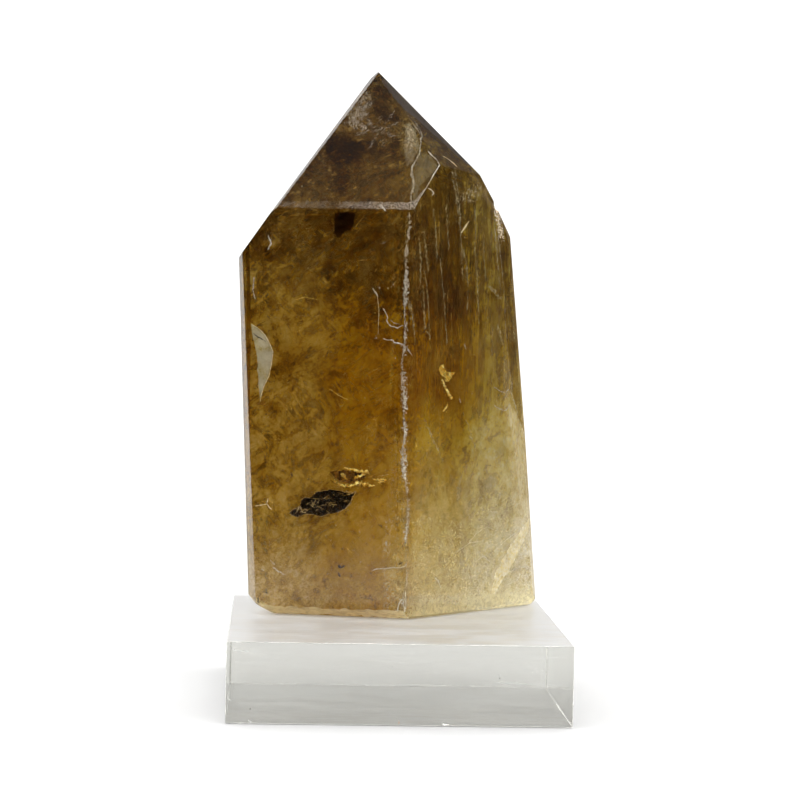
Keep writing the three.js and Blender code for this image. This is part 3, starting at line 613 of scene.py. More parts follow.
def make_stone():
    bm = bmesh.new()
    corners, rings = convex(dict(PLANES, worn=worn_edge()))
    vs = [bm.verts.new(v * 0.001) for v in corners]
    for name, ring in rings.items():
        bm.faces.new([vs[i] for i in ring])
    bmesh.ops.recalc_face_normals(bm, faces=bm.faces)
    bmesh.ops.bevel(bm, geom=list(bm.edges) + list(bm.verts), offset=0.00014, segments=2, profile=0.6,
                    affect="EDGES", clamp_overlap=True)
    glass = stone_material()
    ob = mesh_object("citrine_crystal", bm, [glass, bpy.data.materials.new("bite_mark")])
    ok, volume = watertight(ob.data)
    rng = random.Random(5)
    for c, r, stretch, rough, level in bite_list():
        verts, faces = rock(rng, r, stretch, rough, level)
        tool = from_lists("bite_tool", [v + c for v in verts], faces, [ob.data.materials[0], ob.data.materials[1]],
                          index=[1] * len(faces))
        mod = ob.modifiers.new("bite", "BOOLEAN")
        mod.operation, mod.solver, mod.object = "DIFFERENCE", "EXACT", tool
        mod.material_mode = "TRANSFER"
        dg = bpy.context.evaluated_depsgraph_get()
        me = bpy.data.meshes.new_from_object(ob.evaluated_get(dg))
        ob.modifiers.remove(mod)
        ok, now = watertight(me)
        if ok and 0 <= volume - now < 2e-8:
            old, ob.data = ob.data, me
            bpy.data.meshes.remove(old)
            volume = now
        else:
            bpy.data.meshes.remove(me)
        bpy.data.objects.remove(tool)
    me = ob.data
    values = {k: [] for k in ("chip", "deep", "skin_smoky", "skin_golden")}
    worn = worn_edge()[0]
    for f in me.polygons:
        broken = f.material_index == 1 or f.normal.dot(worn) > 0.9995
        near = max(PLANES, key=lambda q: PLANES[q][0].dot(f.normal))
        s, g = (0.0, 0.0) if broken else SKIN.get(near, (0.0, 0.0))
        flat = f.normal.dot(worn) > 0.9995
        values["chip"].append(0.25 if flat else 1.0 if broken else FROST.get(near, 0.0))
        values["deep"].append(1.0 if near in ("back", "left_back") and not broken else 0.0)
        values["skin_smoky"].append(s)
        values["skin_golden"].append(g)
        f.material_index = 0
        f.use_smooth = False
    for k in values:
        me.attributes.new(k, "FLOAT", "FACE")
    for k, v in values.items():
        me.attributes[k].data.foreach_set("value", v)
    me.materials.pop(index=1)
    keep(ob)
    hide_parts("crystal_point")
    return ob


# ------------------------------------------------------------------ what is sealed in the stone
def in_plane(face):
    """(normal, level direction, up direction) of a face."""
    n = PLANES[face][0]
    u = Vector((0, 0, 1)).cross(n).normalized()
    return n, u, n.cross(u)


def sheet(name, mat, normal, centre, wave=1.0, step=1.6, seed=1, inset=0.6, half=(62, 90), cuts=(), bend=0.0):
    """A wavy film through the stone, square to normal, cut off inside its faces."""
    n = Vector(normal).normalized()
    u = Vector((0, 0, 1)).cross(n).normalized()
    v = n.cross(u)
    bm = bmesh.new()
    nu, nv = int(2 * half[0] / step), int(2 * half[1] / step)
    grid = []
    for j in range(nv + 1):
        row = []
        for i in range(nu + 1):
            a, b = (i / nu - 0.5) * 2 * half[0], (j / nv - 0.5) * 2 * half[1]
            q = Vector((a * 0.045, b * 0.03, seed * 7.3))
            w = wave * (noise.noise(q) * 2.2 + noise.noise(q * 3.1) * 0.6) + bend * (a / half[0]) ** 2
            row.append(bm.verts.new(Vector(centre) + u * a + v * b + n * w))
        grid.append(row)
    for j in range(nv):
        for i in range(nu):
            bm.faces.new((grid[j][i], grid[j][i + 1], grid[j + 1][i + 1], grid[j + 1][i]))
    limits = [(pn, pd - inset) for pn, pd in PLANES.values()] + [(Vector(c[0]).normalized(), c[1]) for c in cuts]
    for pn, pd in limits:
        bmesh.ops.bisect_plane(bm, geom=bm.verts[:] + bm.edges[:] + bm.faces[:], plane_co=pn * pd, plane_no=pn,
                               clear_outer=True)
    for vert in bm.verts:
        vert.co *= 0.001
    if not bm.faces:
        bm.free()
        return None
    return keep(mesh_object(name, bm, [mat], smooth=True))


def patch(name, outline, mat, step=0.5, wave=0.1, seed=1, smooth=True, back=None, drop=(0, 0, 0), fade=0.0):
    """A film with a given outline (mm), filled with a fine grid; back gives it thickness behind, and
    it thins out over fade mm towards its outline."""
    pts = [Vector(p) + Vector(drop) for p in outline]
    mid = sum(pts, Vector()) / len(pts)
    n = Vector()
    for a, b in zip(pts, pts[1:] + pts[:1]):
        n += (a - mid).cross(b - mid)
    n.normalize()
    if n.y > 0:
        n = -n
    u = Vector((0, 0, 1)).cross(n).normalized()
    v = n.cross(u)
    flat = [((p - mid).dot(u), (p - mid).dot(v), (p - mid).dot(n)) for p in pts]
    bm = bmesh.new()
    # ragged outline: split each side and push the new points about a little
    rim = []
    rng = random.Random(seed)
    for a, b in zip(flat, flat[1:] + flat[:1]):
        length = math.hypot(b[0] - a[0], b[1] - a[1])
        m = max(1, int(length / step))
        for k in range(m):
            t = k / m
            j = 0.0 if k == 0 else step * 0.28
            rim.append((a[0] + (b[0] - a[0]) * t + rng.uniform(-j, j), a[1] + (b[1] - a[1]) * t + rng.uniform(-j, j)))
    vs = [bm.verts.new((a, b, 0)) for a, b in rim]
    face = bm.faces.new(vs)
    lo_u, hi_u = min(a for a, _ in rim), max(a for a, _ in rim)
    lo_v, hi_v = min(b for _, b in rim), max(b for _, b in rim)
    k = lo_u + step * 0.6
    while k < hi_u:
        bmesh.ops.bisect_plane(bm, geom=bm.verts[:] + bm.edges[:] + bm.faces[:], plane_co=(k, 0, 0), plane_no=(1, 0, 0))
        k += step
    k = lo_v + step * 0.6
    while k < hi_v:
        bmesh.ops.bisect_plane(bm, geom=bm.verts[:] + bm.edges[:] + bm.faces[:], plane_co=(0, k, 0), plane_no=(0, 1, 0))
        k += step
    bmesh.ops.triangulate(bm, faces=bm.faces[:])
    if back:
        shell = bmesh.ops.extrude_face_region(bm, geom=bm.faces[:])
        for g in shell["geom"]:
            if isinstance(g, bmesh.types.BMVert):
                g.co.z -= back
        bmesh.ops.recalc_face_normals(bm, faces=bm.faces[:])
    thin = []
    for vert in bm.verts:
        a, b, c = vert.co
        near = 9.0
        for (xa, ya, _), (xb, yb, _) in zip(flat, flat[1:] + flat[:1]):
            dx, dy = xb - xa, yb - ya
            t = min(1.0, max(0.0, ((a - xa) * dx + (b - ya) * dy) / max(dx * dx + dy * dy, 1e-9)))
            near = min(near, math.hypot(a - xa - dx * t, b - ya - dy * t))
        thin.append(max(0.0, 1.0 - near / fade) if fade else 0.0)
        q = Vector((a * 1.3, b * 1.3, seed * 3.7))
        w = wave * (noise.noise(q * 0.5) * 1.5 + noise.noise(q * 1.7) + 0.4 * noise.noise(q * 4.0))
        p = mid + u * a + v * b + n * (c + w)
        for pn, pd in PLANES.values():
            p -= pn * max(0.0, pn.dot(p) - (pd - 0.12))
        vert.co = p * 0.001
    ob = keep(mesh_object(name, bm, [mat], smooth=smooth))
    if fade:
        ob.data.attributes.new("rim", "FLOAT", "POINT").data.foreach_set("value", thin)
    return ob


def worm(points, rng, wobble=0.25, sides=6, step=0.3, flat=0.5, normal=Vector((0.2, -1, 0)), tidy=False):
    """A ragged strand along points (x, y, z, width): vertices and faces in mm, closed at both ends."""
    dense = []
    for a, b in zip(points, points[1:]):
        length = (Vector(b[:3]) - Vector(a[:3])).length
        m = max(1, int(length / step))
        for k in range(m):
            t = k / m
            dense.append([a[i] + (b[i] - a[i]) * t for i in range(4)])
    dense.append(list(points[-1]))
    verts, faces = [], []
    total = len(dense)
    for k, q in enumerate(dense):
        p = Vector(q[:3])
        ahead = Vector(dense[min(k + 1, total - 1)][:3]) - Vector(dense[max(k - 1, 0)][:3])
        ahead.normalize()
        side = ahead.cross(normal).normalized()
        out_ = side.cross(ahead).normalized()
        r = q[3] * 0.5 * (1 if tidy else rng.uniform(0.45, 1.35))
        if k in (0, total - 1):
            r *= 0.25
        p += side * (q[3] * rng.uniform(-wobble, wobble))
        for s in range(sides):
            ang = 2 * math.pi * s / sides
            rr = r * (1 if tidy else rng.uniform(0.7, 1.25))
            verts.append(p + side * math.cos(ang) * rr + out_ * math.sin(ang) * rr * flat)
        if k:
            base = (k - 1) * sides
            for s in range(sides):
                t = (s + 1) % sides
                faces.append((base + s, base + t, base + sides + t, base + sides + s))
    faces.append(tuple(reversed(range(sides))))
    faces.append(tuple(range((total - 1) * sides, total * sides)))
    return verts, faces


class Heap:
    """Many small shapes gathered into one mesh."""

    def __init__(self):
        self.v, self.f = [], []

    def put(self, verts, faces):
        k = len(self.v)
        self.v.extend(verts)
        self.f.extend([tuple(i + k for i in f) for f in faces])

    def make(self, name, mat, smooth=False, inset=0.0):
        if inset is not None:
            for i, p in enumerate(self.v):
                for n, d in PLANES.values():
                    over = n.dot(p) - (d - inset)
                    if over > 0:
                        p = p - n * over
                self.v[i] = p
        return keep(from_lists(name, self.v, self.f, [mat], smooth))


def chip_flake(rng, size, normal=None, thin=0.12):
    """A sliver: an irregular flat polygon with a little thickness."""
    n = normal or Vector((rng.gauss(0, 1), rng.gauss(0, 1), rng.gauss(0, 1))).normalized()
    u = n.orthogonal().normalized()
    v = n.cross(u)
    k = rng.randint(4, 6)
    start = rng.uniform(0, 6.28)
    ring = [u * math.cos(start + 6.283 * i / k) * size * rng.uniform(0.4, 1.1)
            + v * math.sin(start + 6.283 * i / k) * size * rng.uniform(0.4, 1.1) for i in range(k)]
    verts = [n * size * thin] + ring + [-n * size * thin]
    faces = [(0, 1 + i, 1 + (i + 1) % k) for i in range(k)] + [(k + 1, 1 + (i + 1) % k, 1 + i) for i in range(k)]
    return verts, faces


LIFT = 1.05     # smoke that the glass round the clouds already adds


# materials of what is inside
def smoke_material(name, kind):
    """A film that only darkens and colours: kind says where."""
    m, n = material(name)
    x, y, z = n.xyz()
    p = n.point()
    drift = n.minus(n.noise(p, 0.07, 2, 0.5), 0.5)
    if kind == "heart":       # the dark upper heart of the stone, right of its left third
        cloud = n.noise(n.point((1, 1, 0.55), (0, 18, 0)), 0.16, 7, 0.66, 1.2)
        grain = n.noise(n.point((1, 1, 0.6), (0, -25, 0)), 1.1, 4, 0.7, 0.8)
        zz = n.plus(z, n.mul(drift, 30.0))
        edge = n.ramp(n.total(x, n.mul(n.minus(cloud, 0.5), 16.0)), -15.5, -9.5)
        s = n.plus(n.ramp(zz, 52, 94, 0, 0.62), n.ramp(zz, 102, 118, 0, -0.28))
        g = n.total(n.ramp(z, 22, 34, 0.1, 0.35), n.ramp(zz, 50, 76, 0, 0.75), n.ramp(zz, 108, 122, 0, -0.8))
        g = n.mul(g, n.total(n.ramp(x, -2, 8, 1.0, 0.62), n.ramp(x, 18, 30, 0, -0.4)))
        vary = n.mul(n.ramp(cloud, 0.3, 0.7, 0.5, 1.5, smooth=False), n.ramp(grain, 0.3, 0.7, 0.75, 1.25, smooth=False))
        s, g = n.product(s, edge, vary), n.product(g, edge, vary)
    elif kind == "clouds":    # mottling all through
        cloud = n.noise(n.point((1, 1, 0.8), (0, 35, 0)), 0.13, 8, 0.68, 1.5)
        fine = n.noise(n.point((1, 1, 0.45), (0, -30, 0)), 0.9, 5, 0.72, 1.0)
        k = n.plus(n.ramp(cloud, 0.42, 0.68, 0, 0.6), n.ramp(fine, 0.5, 0.72, 0, 0.32))
        lower = n.ramp(z, 22, 60, 0.45, 1.0)
        s, g = n.product(k, lower, 0.42), n.product(k, lower, 0.75)
    elif kind == "grain":     # crumbly speckle, thickest near the foot
        fine = n.noise(p, 1.1, 6, 0.8, 1.0)
        cloud = n.noise(n.point(shift=(30, 0, 9)), 0.3, 4, 0.6, 0.5)
        low = n.top(n.ramp(n.plus(z, n.mul(drift, 14)), 24, 44, 1.0, 0.0), n.mul(n.ramp(cloud, 0.44, 0.58), 0.7))
        k = n.mul(n.ramp(fine, 0.47, 0.6), low)
        s, g = n.mul(k, 0.26), n.mul(k, 0.95)
    elif kind == "shadow":    # painted shade: a ragged dark brown film for the dark patches in the upper part of the stone
        fine = n.noise(p, 0.75, 7, 0.78, 1.8)
        k = n.mul(n.ramp(fine, 0.4, 0.54), n.rim())
        s, g = n.mul(k, 0.7), n.mul(k, 0.8)
    elif kind == "dense":     # painted shade: nearly black brown
        k = n.mul(n.ramp(n.noise(p, 0.8, 6, 0.75, 1.2), 0.3, 0.52, 0.7, 1.1), n.rim())
        s, g = n.mul(k, 1.5), n.mul(k, 1.5)
    elif kind == "plain":     # an even olive shade
        k = n.ramp(n.noise(n.point((1, 1, 0.3)), 0.6, 3, 0.5), 0.3, 0.7, 0.85, 1.15)
        s, g = n.mul(k, 0.38), n.mul(k, 0.3)
    else:                     # "wedge": a clear, slightly browner growth sector
        fine = n.noise(n.point((1, 1, 0.3)), 0.5, 4, 0.6, 0.5)
        k = n.ramp(fine, 0.25, 0.7, 0.6, 1.3)
        s, g = n.mul(k, 0.03), n.mul(k, 0.4)
    n.out(n.add("ShaderNodeBsdfTransparent", 0, {0: n.tint(s, g)}))
    return m


def body_material(name, cover, seed):
    """The cloudy golden body of the stone: a film that glows with the light inside and half hides what lies behind.
    Smoky at the tip, golden through the middle, pale towards the foot on the right."""
    m, n = material(name)
    x, y, z = n.xyz()
    p = n.point(shift=(seed, seed * 2, seed * 3))
    drift = n.minus(n.noise(p, 0.045, 3, 0.55), 0.5)
    sway = n.minus(n.noise(n.point(shift=(50 + seed, 3, 7)), 0.06, 3, 0.55), 0.5)
    xx, zz = n.plus(x, n.mul(sway, 16.0)), n.plus(z, n.mul(drift, 24.0))
    # how much smoke, in four upright zones from left to right
    s1 = n.total(0.95, n.ramp(zz, 20, 40, 0, 0.3), n.ramp(zz, 84, 100, 0, 0.3), n.ramp(zz, 96, 114, 0, 0.65))
    s2 = n.total(0.6, n.ramp(zz, 42, 72, 0, 0.55), n.ramp(zz, 80, 106, 0, 1.1), n.mul(n.bump_at(zz, 84.0, 26.0), -0.34))
    s3 = n.total(0.9, n.ramp(zz, 72, 107, 0, 1.3), n.mul(n.bump_at(zz, 84.0, 20.0), -0.2), n.mul(n.bump_at(zz, 67.0, 18.0), -0.42), n.mul(n.bump_at(zz, 42.0, 10.0), 0.38))
    s4 = n.total(0.64, n.mul(n.bump_at(zz, 43.0, 11.0), 0.52), n.ramp(zz, 58, 82, 0, 0.68), n.ramp(zz, 84, 100, 0, 0.35))
    g1 = n.total(1.0, n.ramp(zz, 22, 46, 0, 0.85), n.ramp(zz, 60, 86, 0, 0.25))
    g2 = n.total(2.3, n.ramp(zz, 44, 76, 0, 1.5), n.ramp(zz, 84, 108, 0, -1.1))
    g3 = n.total(1.8, n.ramp(zz, 28, 48, 0, 1.2), n.ramp(zz, 62, 82, 0, 2.1), n.ramp(zz, 96, 114, 0, -1.5))
    g4 = n.total(0.5, n.ramp(zz, 28, 62, 0, 0.9), n.ramp(zz, 62, 80, 0, 0.95), n.ramp(zz, 96, 114, 0, -0.3))
    a, b_, c = n.ramp(xx, -21, -10), n.ramp(xx, -1, 5), n.ramp(xx, 11, 23)
    smoky = n.mixf(c, n.mixf(b_, n.mixf(a, s1, s2), s3), s4)
    golden = n.mixf(c, n.mixf(b_, n.mixf(a, g1, g2), g3), g4)
    tip = n.ramp(n.plus(z, n.mul(drift, 8.0)), 116, 128)
    smoky = n.plus(smoky, n.mul(tip, 0.1))
    golden = n.mul(golden, n.ramp(z, 112, 136, 1.0, 0.6))
    glow = n.mul(n.bump_at(xx, -23.0, 15.0), n.bump_at(zz, 92.0, 17.0))
    murk = n.mul(n.bump_at(xx, -8.0, 17.0), n.bump_at(zz, 106.0, 20.0))
    smoky = n.total(smoky, n.mul(glow, -0.35), n.mul(murk, 0.0))
    # clouds, upright streaks on the right, sweeping hair-fine strokes on the left
    cloud = n.noise(n.along(1.4, 30, (seed, 0, 9)), 0.11, 6, 0.62, 1.1)
    streak = n.noise(n.along(8.0, 2, (seed, 0, 2)), 0.42, 5, 0.64, 0.9)
    hair = n.noise(n.along(2.6, 58, (seed, 0, 5)), 0.4, 5, 0.6, 1.6)
    other = n.noise(n.along(2.2, -38, (seed, 7, 5)), 0.38, 5, 0.6, 1.9)
    curl = n.noise(n.point((1, 1, 1), (0, 0, 0), (seed, 4, 5)), 0.38, 6, 0.66, 1.6)
    tall = n.product(n.ramp(xx, 0, 6), n.ramp(zz, 58, 80))
    low = n.ramp(n.plus(z, n.mul(sway, 26)), 44, 26)
    speck = n.noise(p, 1.2, 6, 0.8, 0.6)
    sweep = n.mixf(n.ramp(n.noise(n.point(shift=(1, 2, seed)), 0.09, 2), 0.42, 0.58), hair, other)
    v = n.mixf(tall, n.mixf(n.ramp(x, -4, 4), sweep, curl), streak)
    v = n.mixf(n.mul(low, 0.8), v, speck)
    blot = n.minus(n.ramp(n.noise(n.along(2.0, 28, (seed, 13, 4)), 0.17, 5, 0.66, 1.6), 0.36, 0.64), 0.5)
    pale_corner = n.mul(n.ramp(xx, -2, 8), n.ramp(zz, 84, 60))
    billow = n.minus(n.ramp(n.noise(n.along(1.5, 40, (seed, 23, 6)), 0.2, 3, 0.5, 1.8), 0.4, 0.6), 0.5)
    crisp = n.minus(n.ramp(v, 0.36, 0.64), 0.5)
    mottle = n.minus(n.ramp(n.noise(n.point(shift=(seed, 31, 8)), 0.42, 5, 0.7, 1.2), 0.36, 0.64), 0.5)
    right_side = n.plus(n.ramp(x, -2, 8, 1.0, 1.4), n.mul(low, 0.4))
    amount = n.mul(n.total(n.mul(n.minus(cloud, 0.5), 3.4), n.mul(crisp, 1.0), n.product(mottle, n.ramp(tall, 0, 1, 0.75, 0.3)), n.product(billow, n.ramp(tall, 0, 1, 0.9, 0.35)), n.product(blot, pale_corner, 1.6)), right_side)
    smoky = n.minus(n.minus(smoky, n.mul(amount, 0.62)), LIFT)
    golden = n.plus(n.mul(n.minus(golden, n.mul(amount, 0.5)), 1.3), -0.2)
    tone = n.tint(n.top(smoky, 0.0), n.top(golden, 0.03))
    # redder on the left, a little greener on the right
    tone = n.mix(1.0, tone, n.mix(n.ramp(x, -3, 10), (1.0, 0.87, 0.84), (0.98, 1.0, 0.88)), "MULTIPLY")
    body = n.shaders(0.5, n.add("ShaderNodeBsdfDiffuse", 0, {0: tone}), n.add("ShaderNodeBsdfTranslucent", 0, {0: tone}))
    thin = n.minus(1.0, n.mul(n.product(n.ramp(xx, -4, 9), n.ramp(zz, 70, 38)), 0.55))
    k = n.mul(n.ramp(n.minus(v, n.mul(n.minus(cloud, 0.5), 0.8)), 0.3, 0.6, cover * 0.72, cover), thin)
    n.out(n.shaders(k, n.add("ShaderNodeBsdfTransparent", 0, {0: (1, 1, 1)}), body))
    return m


def veil_material(name, colour, kind, strength=1.0):
    """A film of trapped bubbles and healed cracks, which scatters light."""
    m, n = material(name)
    x, y, z = n.xyz()
    p = n.point()
    if kind == "wisps":
        lines = n.noise(n.point((1, 1, 0.3), (0, 40, 0)), 0.9, 6, 0.7, 2.2)
        cloud = n.noise(n.point(shift=(4, 4, 4)), 0.2, 3, 0.5)
        k = n.mul(n.ramp(lines, 0.5, 0.72), n.ramp(cloud, 0.45, 0.62))
    elif kind == "tip":
        lines = n.noise(n.point((1, 1, 0.28), (0, -52, 0)), 1.0, 6, 0.72, 1.8)
        cloud = n.noise(n.point(shift=(7, 1, 4)), 0.3, 4, 0.6)
        k = n.mul(n.ramp(lines, 0.4, 0.68), n.ramp(cloud, 0.38, 0.6, 0.25, 1.0))
    elif kind == "streaks":   # upright
        lines = n.noise(n.point((1, 1, 0.07), (0, 2, 0)), 0.8, 6, 0.66, 1.0)
        cloud = n.noise(n.point((1, 1, 0.35), shift=(9, 4, 1)), 0.25, 4, 0.6)
        k = n.mul(n.ramp(lines, 0.5, 0.74), n.ramp(cloud, 0.42, 0.62, 0.0, 1.0))
    elif kind == "frost":
        fine = n.noise(p, 2.4, 5, 0.75)
        k = n.product(n.ramp(fine, 0.32, 0.68, 0.15, 1.0), n.ramp(x, -24, 2, 0.35, 1.0),
                      n.minus(1.0, n.mul(n.bump_at(x, -17.0, 2.2), 0.85)))
    elif kind == "frost_all":
        k = n.ramp(n.noise(p, 1.6, 5, 0.75), 0.3, 0.66, 0.25, 1.0)
    elif kind == "specks":
        k = n.ramp(n.noise(p, 2.2, 5, 0.78), 0.5, 0.66)
    elif kind == "sheen":
        k = n.ramp(n.noise(n.point((0.3, 1, 1), (0, 40, 0)), 0.5, 3, 0.5), 0.2, 0.8, 0.8, 1.0)
    elif kind in ("pane", "pane_soft"):
        k = n.ramp(n.noise(n.point((1, 1, 0.35), (0, 12, 0)), 0.8, 5, 0.65, 0.8), 0.3, 0.7, 0.45, 1.0)
    elif kind == "bevel":     # the ground rim of the foot, greyer at the left
        k = n.ramp(n.noise(n.point((0.35, 1, 1)), 1.3, 5, 0.7), 0.3, 0.6, 0.6, 1.0)
        k = n.mul(k, n.ramp(x, -34, 0, 0.7, 1.0))
    elif kind == "foot_glow":
        k = n.product(n.ramp(z, 27.5, 20.5), n.ramp(x, -4, 8), n.ramp(n.noise(p, 0.7, 6, 0.72, 1.0), 0.34, 0.62, 0.45, 1.0))
    elif kind == "ribbon":
        lines = n.noise(n.point((1, 1, 0.25), (0, -28, 0)), 1.2, 5, 0.65, 0.8)
        k = n.ramp(lines, 0.25, 0.6, 0.6, 1.0)
    else:                     # "dust": soft pale mottling, thickest low on the right
        fine = n.noise(p, 0.8, 7, 0.8, 1.6)
        vein = n.ridge(n.point(shift=(12, 8, 5)), 0.35, 5, 0.62, 1.2, 0.02)
        cloud = n.noise(n.point(shift=(2, 8, 5)), 0.16, 4, 0.6, 0.6)
        low = n.top(n.ramp(z, 34, 66, 1.0, 0.0), n.mul(n.ramp(x, 16, 28), n.ramp(z, 70, 100, 0.6, 0.25)))
        k = n.product(n.top(n.ramp(fine, 0.49, 0.64), n.mul(vein, 0.6)), n.ramp(cloud, 0.4, 0.6, 0.45, 1.0), low)
    if kind in ("tip", "ribbon", "pane_soft", "specks", "bevel"):
        k = n.mul(k, n.rim())
    k = n.math("MULTIPLY", k, strength, clamp=True)
    tone = n.mix(n.noise(p, 1.7, 3), [c * 0.8 for c in colour], [min(1, c * 1.1) for c in colour])
    body = n.shaders(0.5, n.add("ShaderNodeBsdfDiffuse", 0, {0: tone}), n.add("ShaderNodeBsdfTranslucent", 0, {0: tone}))
    if kind == "sheen":
        n.out(n.shaders(k, n.add("ShaderNodeBsdfTransparent", 0, {0: (1, 1, 1)}), body))
        return m
    # scattered light is added to what shows through, so the veil reads pale on the darker stone
    left = n.minus(1.0, n.mul(k, 0.45))
    seen = n.add("ShaderNodeBsdfTransparent", 0, {0: n.add("ShaderNodeCombineColor", 0, {0: left, 1: left, 2: left})})
    none = n.add("ShaderNodeBsdfTransparent", 0, {0: (0, 0, 0)})
    n.out(n.add("ShaderNodeAddShader", 0, {0: seen, 1: n.shaders(k, none, body)}))
    return m


def solid_material(name, low, high, scale=1.6, rough=0.5, metal=0.0, alpha=(1.0, 1.0), bump=0.4, sss=0.0, spec=0.5):
    """Broken rock, gold film and dark grains: two tones, grain and a little see-through."""
    m, n = material(name)
    p = n.point()
    f = n.noise(p, scale, 6, 0.7, 0.5)
    g = n.noise(n.point(shift=(3, 1, 7)), scale * 0.45, 4, 0.6)
    colour = n.mix(n.ramp(f, 0.34, 0.66), low, high)
    colour = n.mix(n.mul(n.ramp(g, 0.5, 0.7), 0.5), colour, [c * 0.75 for c in low])
    ins = {"Base Color": colour, "Roughness": n.ramp(f, 0.3, 0.7, rough * 1.25, rough * 0.75),
           "Metallic": metal, "Specular IOR Level": spec,
           "Normal": n.add("ShaderNodeBump", 0, {"Strength": bump, "Distance": 0.0002, "Height": f})}
    if alpha != (1.0, 1.0):
        ins["Alpha"] = n.ramp(n.noise(n.point(shift=(5, 5, 5)), scale * 1.3, 4, 0.65), 0.35, 0.62, alpha[0], alpha[1])
    n.out(n.add("ShaderNodeBsdfPrincipled", 0, ins))
    return m


def glint_material(name, colour, strength=1.0):
    """Small broken surfaces that catch the light, and painted highlights on the block: brighter than whatever lies
    behind them.
    """
    m, n = material(name)
    f = n.ramp(n.noise(n.point(), 2.0, 5, 0.7), 0.36, 0.6, 0.35 * strength, strength)
    left = n.minus(1.0, n.mul(f, 0.35))
    seen = n.add("ShaderNodeBsdfTransparent", 0, {0: n.add("ShaderNodeCombineColor", 0, {0: left, 1: left, 2: left})})
    tone = n.mix(f, [c * 0.85 for c in colour], colour)
    body = n.shaders(0.5, n.add("ShaderNodeBsdfDiffuse", 0, {0: tone}), n.add("ShaderNodeBsdfTranslucent", 0, {0: tone}))
    none = n.add("ShaderNodeBsdfTransparent", 0, {0: (0, 0, 0)})
    n.out(n.add("ShaderNodeAddShader", 0, {0: seen, 1: n.shaders(f, none, body)}))
    return m


def crumbs(heap, points, rng, count, spread, size, thin=0.35, normal=Vector((0.2, -1, 0))):
    """Loose grains scattered along a line."""
    seg = list(zip(points, points[1:]))
    for _ in range(count):
        a, b = rng.choice(seg)
        t = rng.random()
        q = [a[i] + (b[i] - a[i]) * t for i in range(4)]
        off = Vector((rng.gauss(0, 1), rng.gauss(0, 0.35), rng.gauss(0, 1))) * (spread * q[3])
        verts, faces = chip_flake(rng, size * rng.uniform(0.5, 1.5), thin=thin)
        heap.put([v + Vector(q[:3]) + off for v in verts], faces)


def make_cracks():
    rng = random.Random(21)
    white = solid_material("crack_white", (0.13, 0.09, 0.04), (0.92, 0.85, 0.68), 2.4, 0.55, alpha=(0.0, 1.0))
    bright = solid_material("crack_splinters", (0.32, 0.26, 0.16), (0.97, 0.92, 0.80), 2.6, 0.6, alpha=(0.35, 1.0))
    fine = solid_material("hairline_white", (0.70, 0.66, 0.55), (0.95, 0.94, 0.90), 1.5, 0.45, alpha=(0.45, 1.0))
    h = Heap()
    for key in ("crack_low", "crack_high"):
        pts = FEATURES[key]
        if key == "crack_high":
            h.put(*worm([[a, b, c, w * 0.5] for a, b, c, w in pts], rng, 0.3, step=0.22, flat=0.45, normal=PLANES["front_main"][0]))
        else:
            h.put(*worm([[a, b, c, w * (0.3 if c < 112 else 0.16)] for a, b, c, w in pts], rng, 0.5, step=0.2, flat=0.3, normal=Vector((0.23, -0.97, 0))))
        crumbs(h, pts, rng, 1000 if key == "crack_low" else 260, 0.28, 0.09)
    h.make("edge_fracture", white, inset=0.3)
    # splinters standing out of the rubbed edge, in the open air but within the stone's true corner
    m, d = worn_edge()
    h = Heap()
    pts = FEATURES["crack_low"]
    for a, b in zip(pts, pts[1:]):
        a3, b3 = Vector(a[:3]), Vector(b[:3])
        width = (a[3] + b[3]) / 2
        for _ in range(int(5 + 17 * width)):
            q = a3.lerp(b3, rng.random())
            if noise.noise(Vector((0.5, 2.0, q.z * 0.42))) + 0.36 * noise.noise(Vector((4.5, 2.0, q.z * 1.7))) < -0.16 + 0.22 * (1.1 - width):
                continue
            q += m * (d - m.dot(q) + rng.uniform(0.0, 0.12))
            q += Vector((rng.gauss(0, 0.32) * width, 0, rng.gauss(0, 0.2)))
            n_ = (m + Vector((rng.gauss(0, 0.5), rng.gauss(0, 0.3), rng.gauss(0, 0.5)))).normalized()
            verts, faces = chip_flake(rng, rng.uniform(0.07, 0.24) * (0.6 + 0.5 * width), normal=n_, thin=0.25)
            h.put([v + q for v in verts], faces)
    for k, p in enumerate(h.v):
        h.v[k] = p + m * max(0.0, d + 0.012 - m.dot(p))
    h.make("edge_splinters", bright, inset=0.015)
    h = Heap()
    for key in ("b1", "b2", "b3", "b4", "b5", "b6", "b7", "b8", "b9", "c1", "c2", "edge_line"):
        pts = FEATURES[key]
        h.put(*worm([[a, b, c, w * (0.9 if key == "edge_line" else 0.6)] for a, b, c, w in pts], rng, 0.05 if key == "edge_line" else 0.18, sides=5, step=0.3, flat=0.6))
        if key != "edge_line":
            crumbs(h, pts, rng, 10, 0.5, 0.07)
    h.put(*worm([[a, b, c, w * 0.22] for a, b, c, w in FEATURES["sliver_line"]], rng, 0.5, sides=4, step=0.3, flat=0.6))
    crumbs(h, FEATURES["sliver_line"], rng, 260, 0.6, 0.08)
    h.make("branch_cracks", fine, inset=0.05)


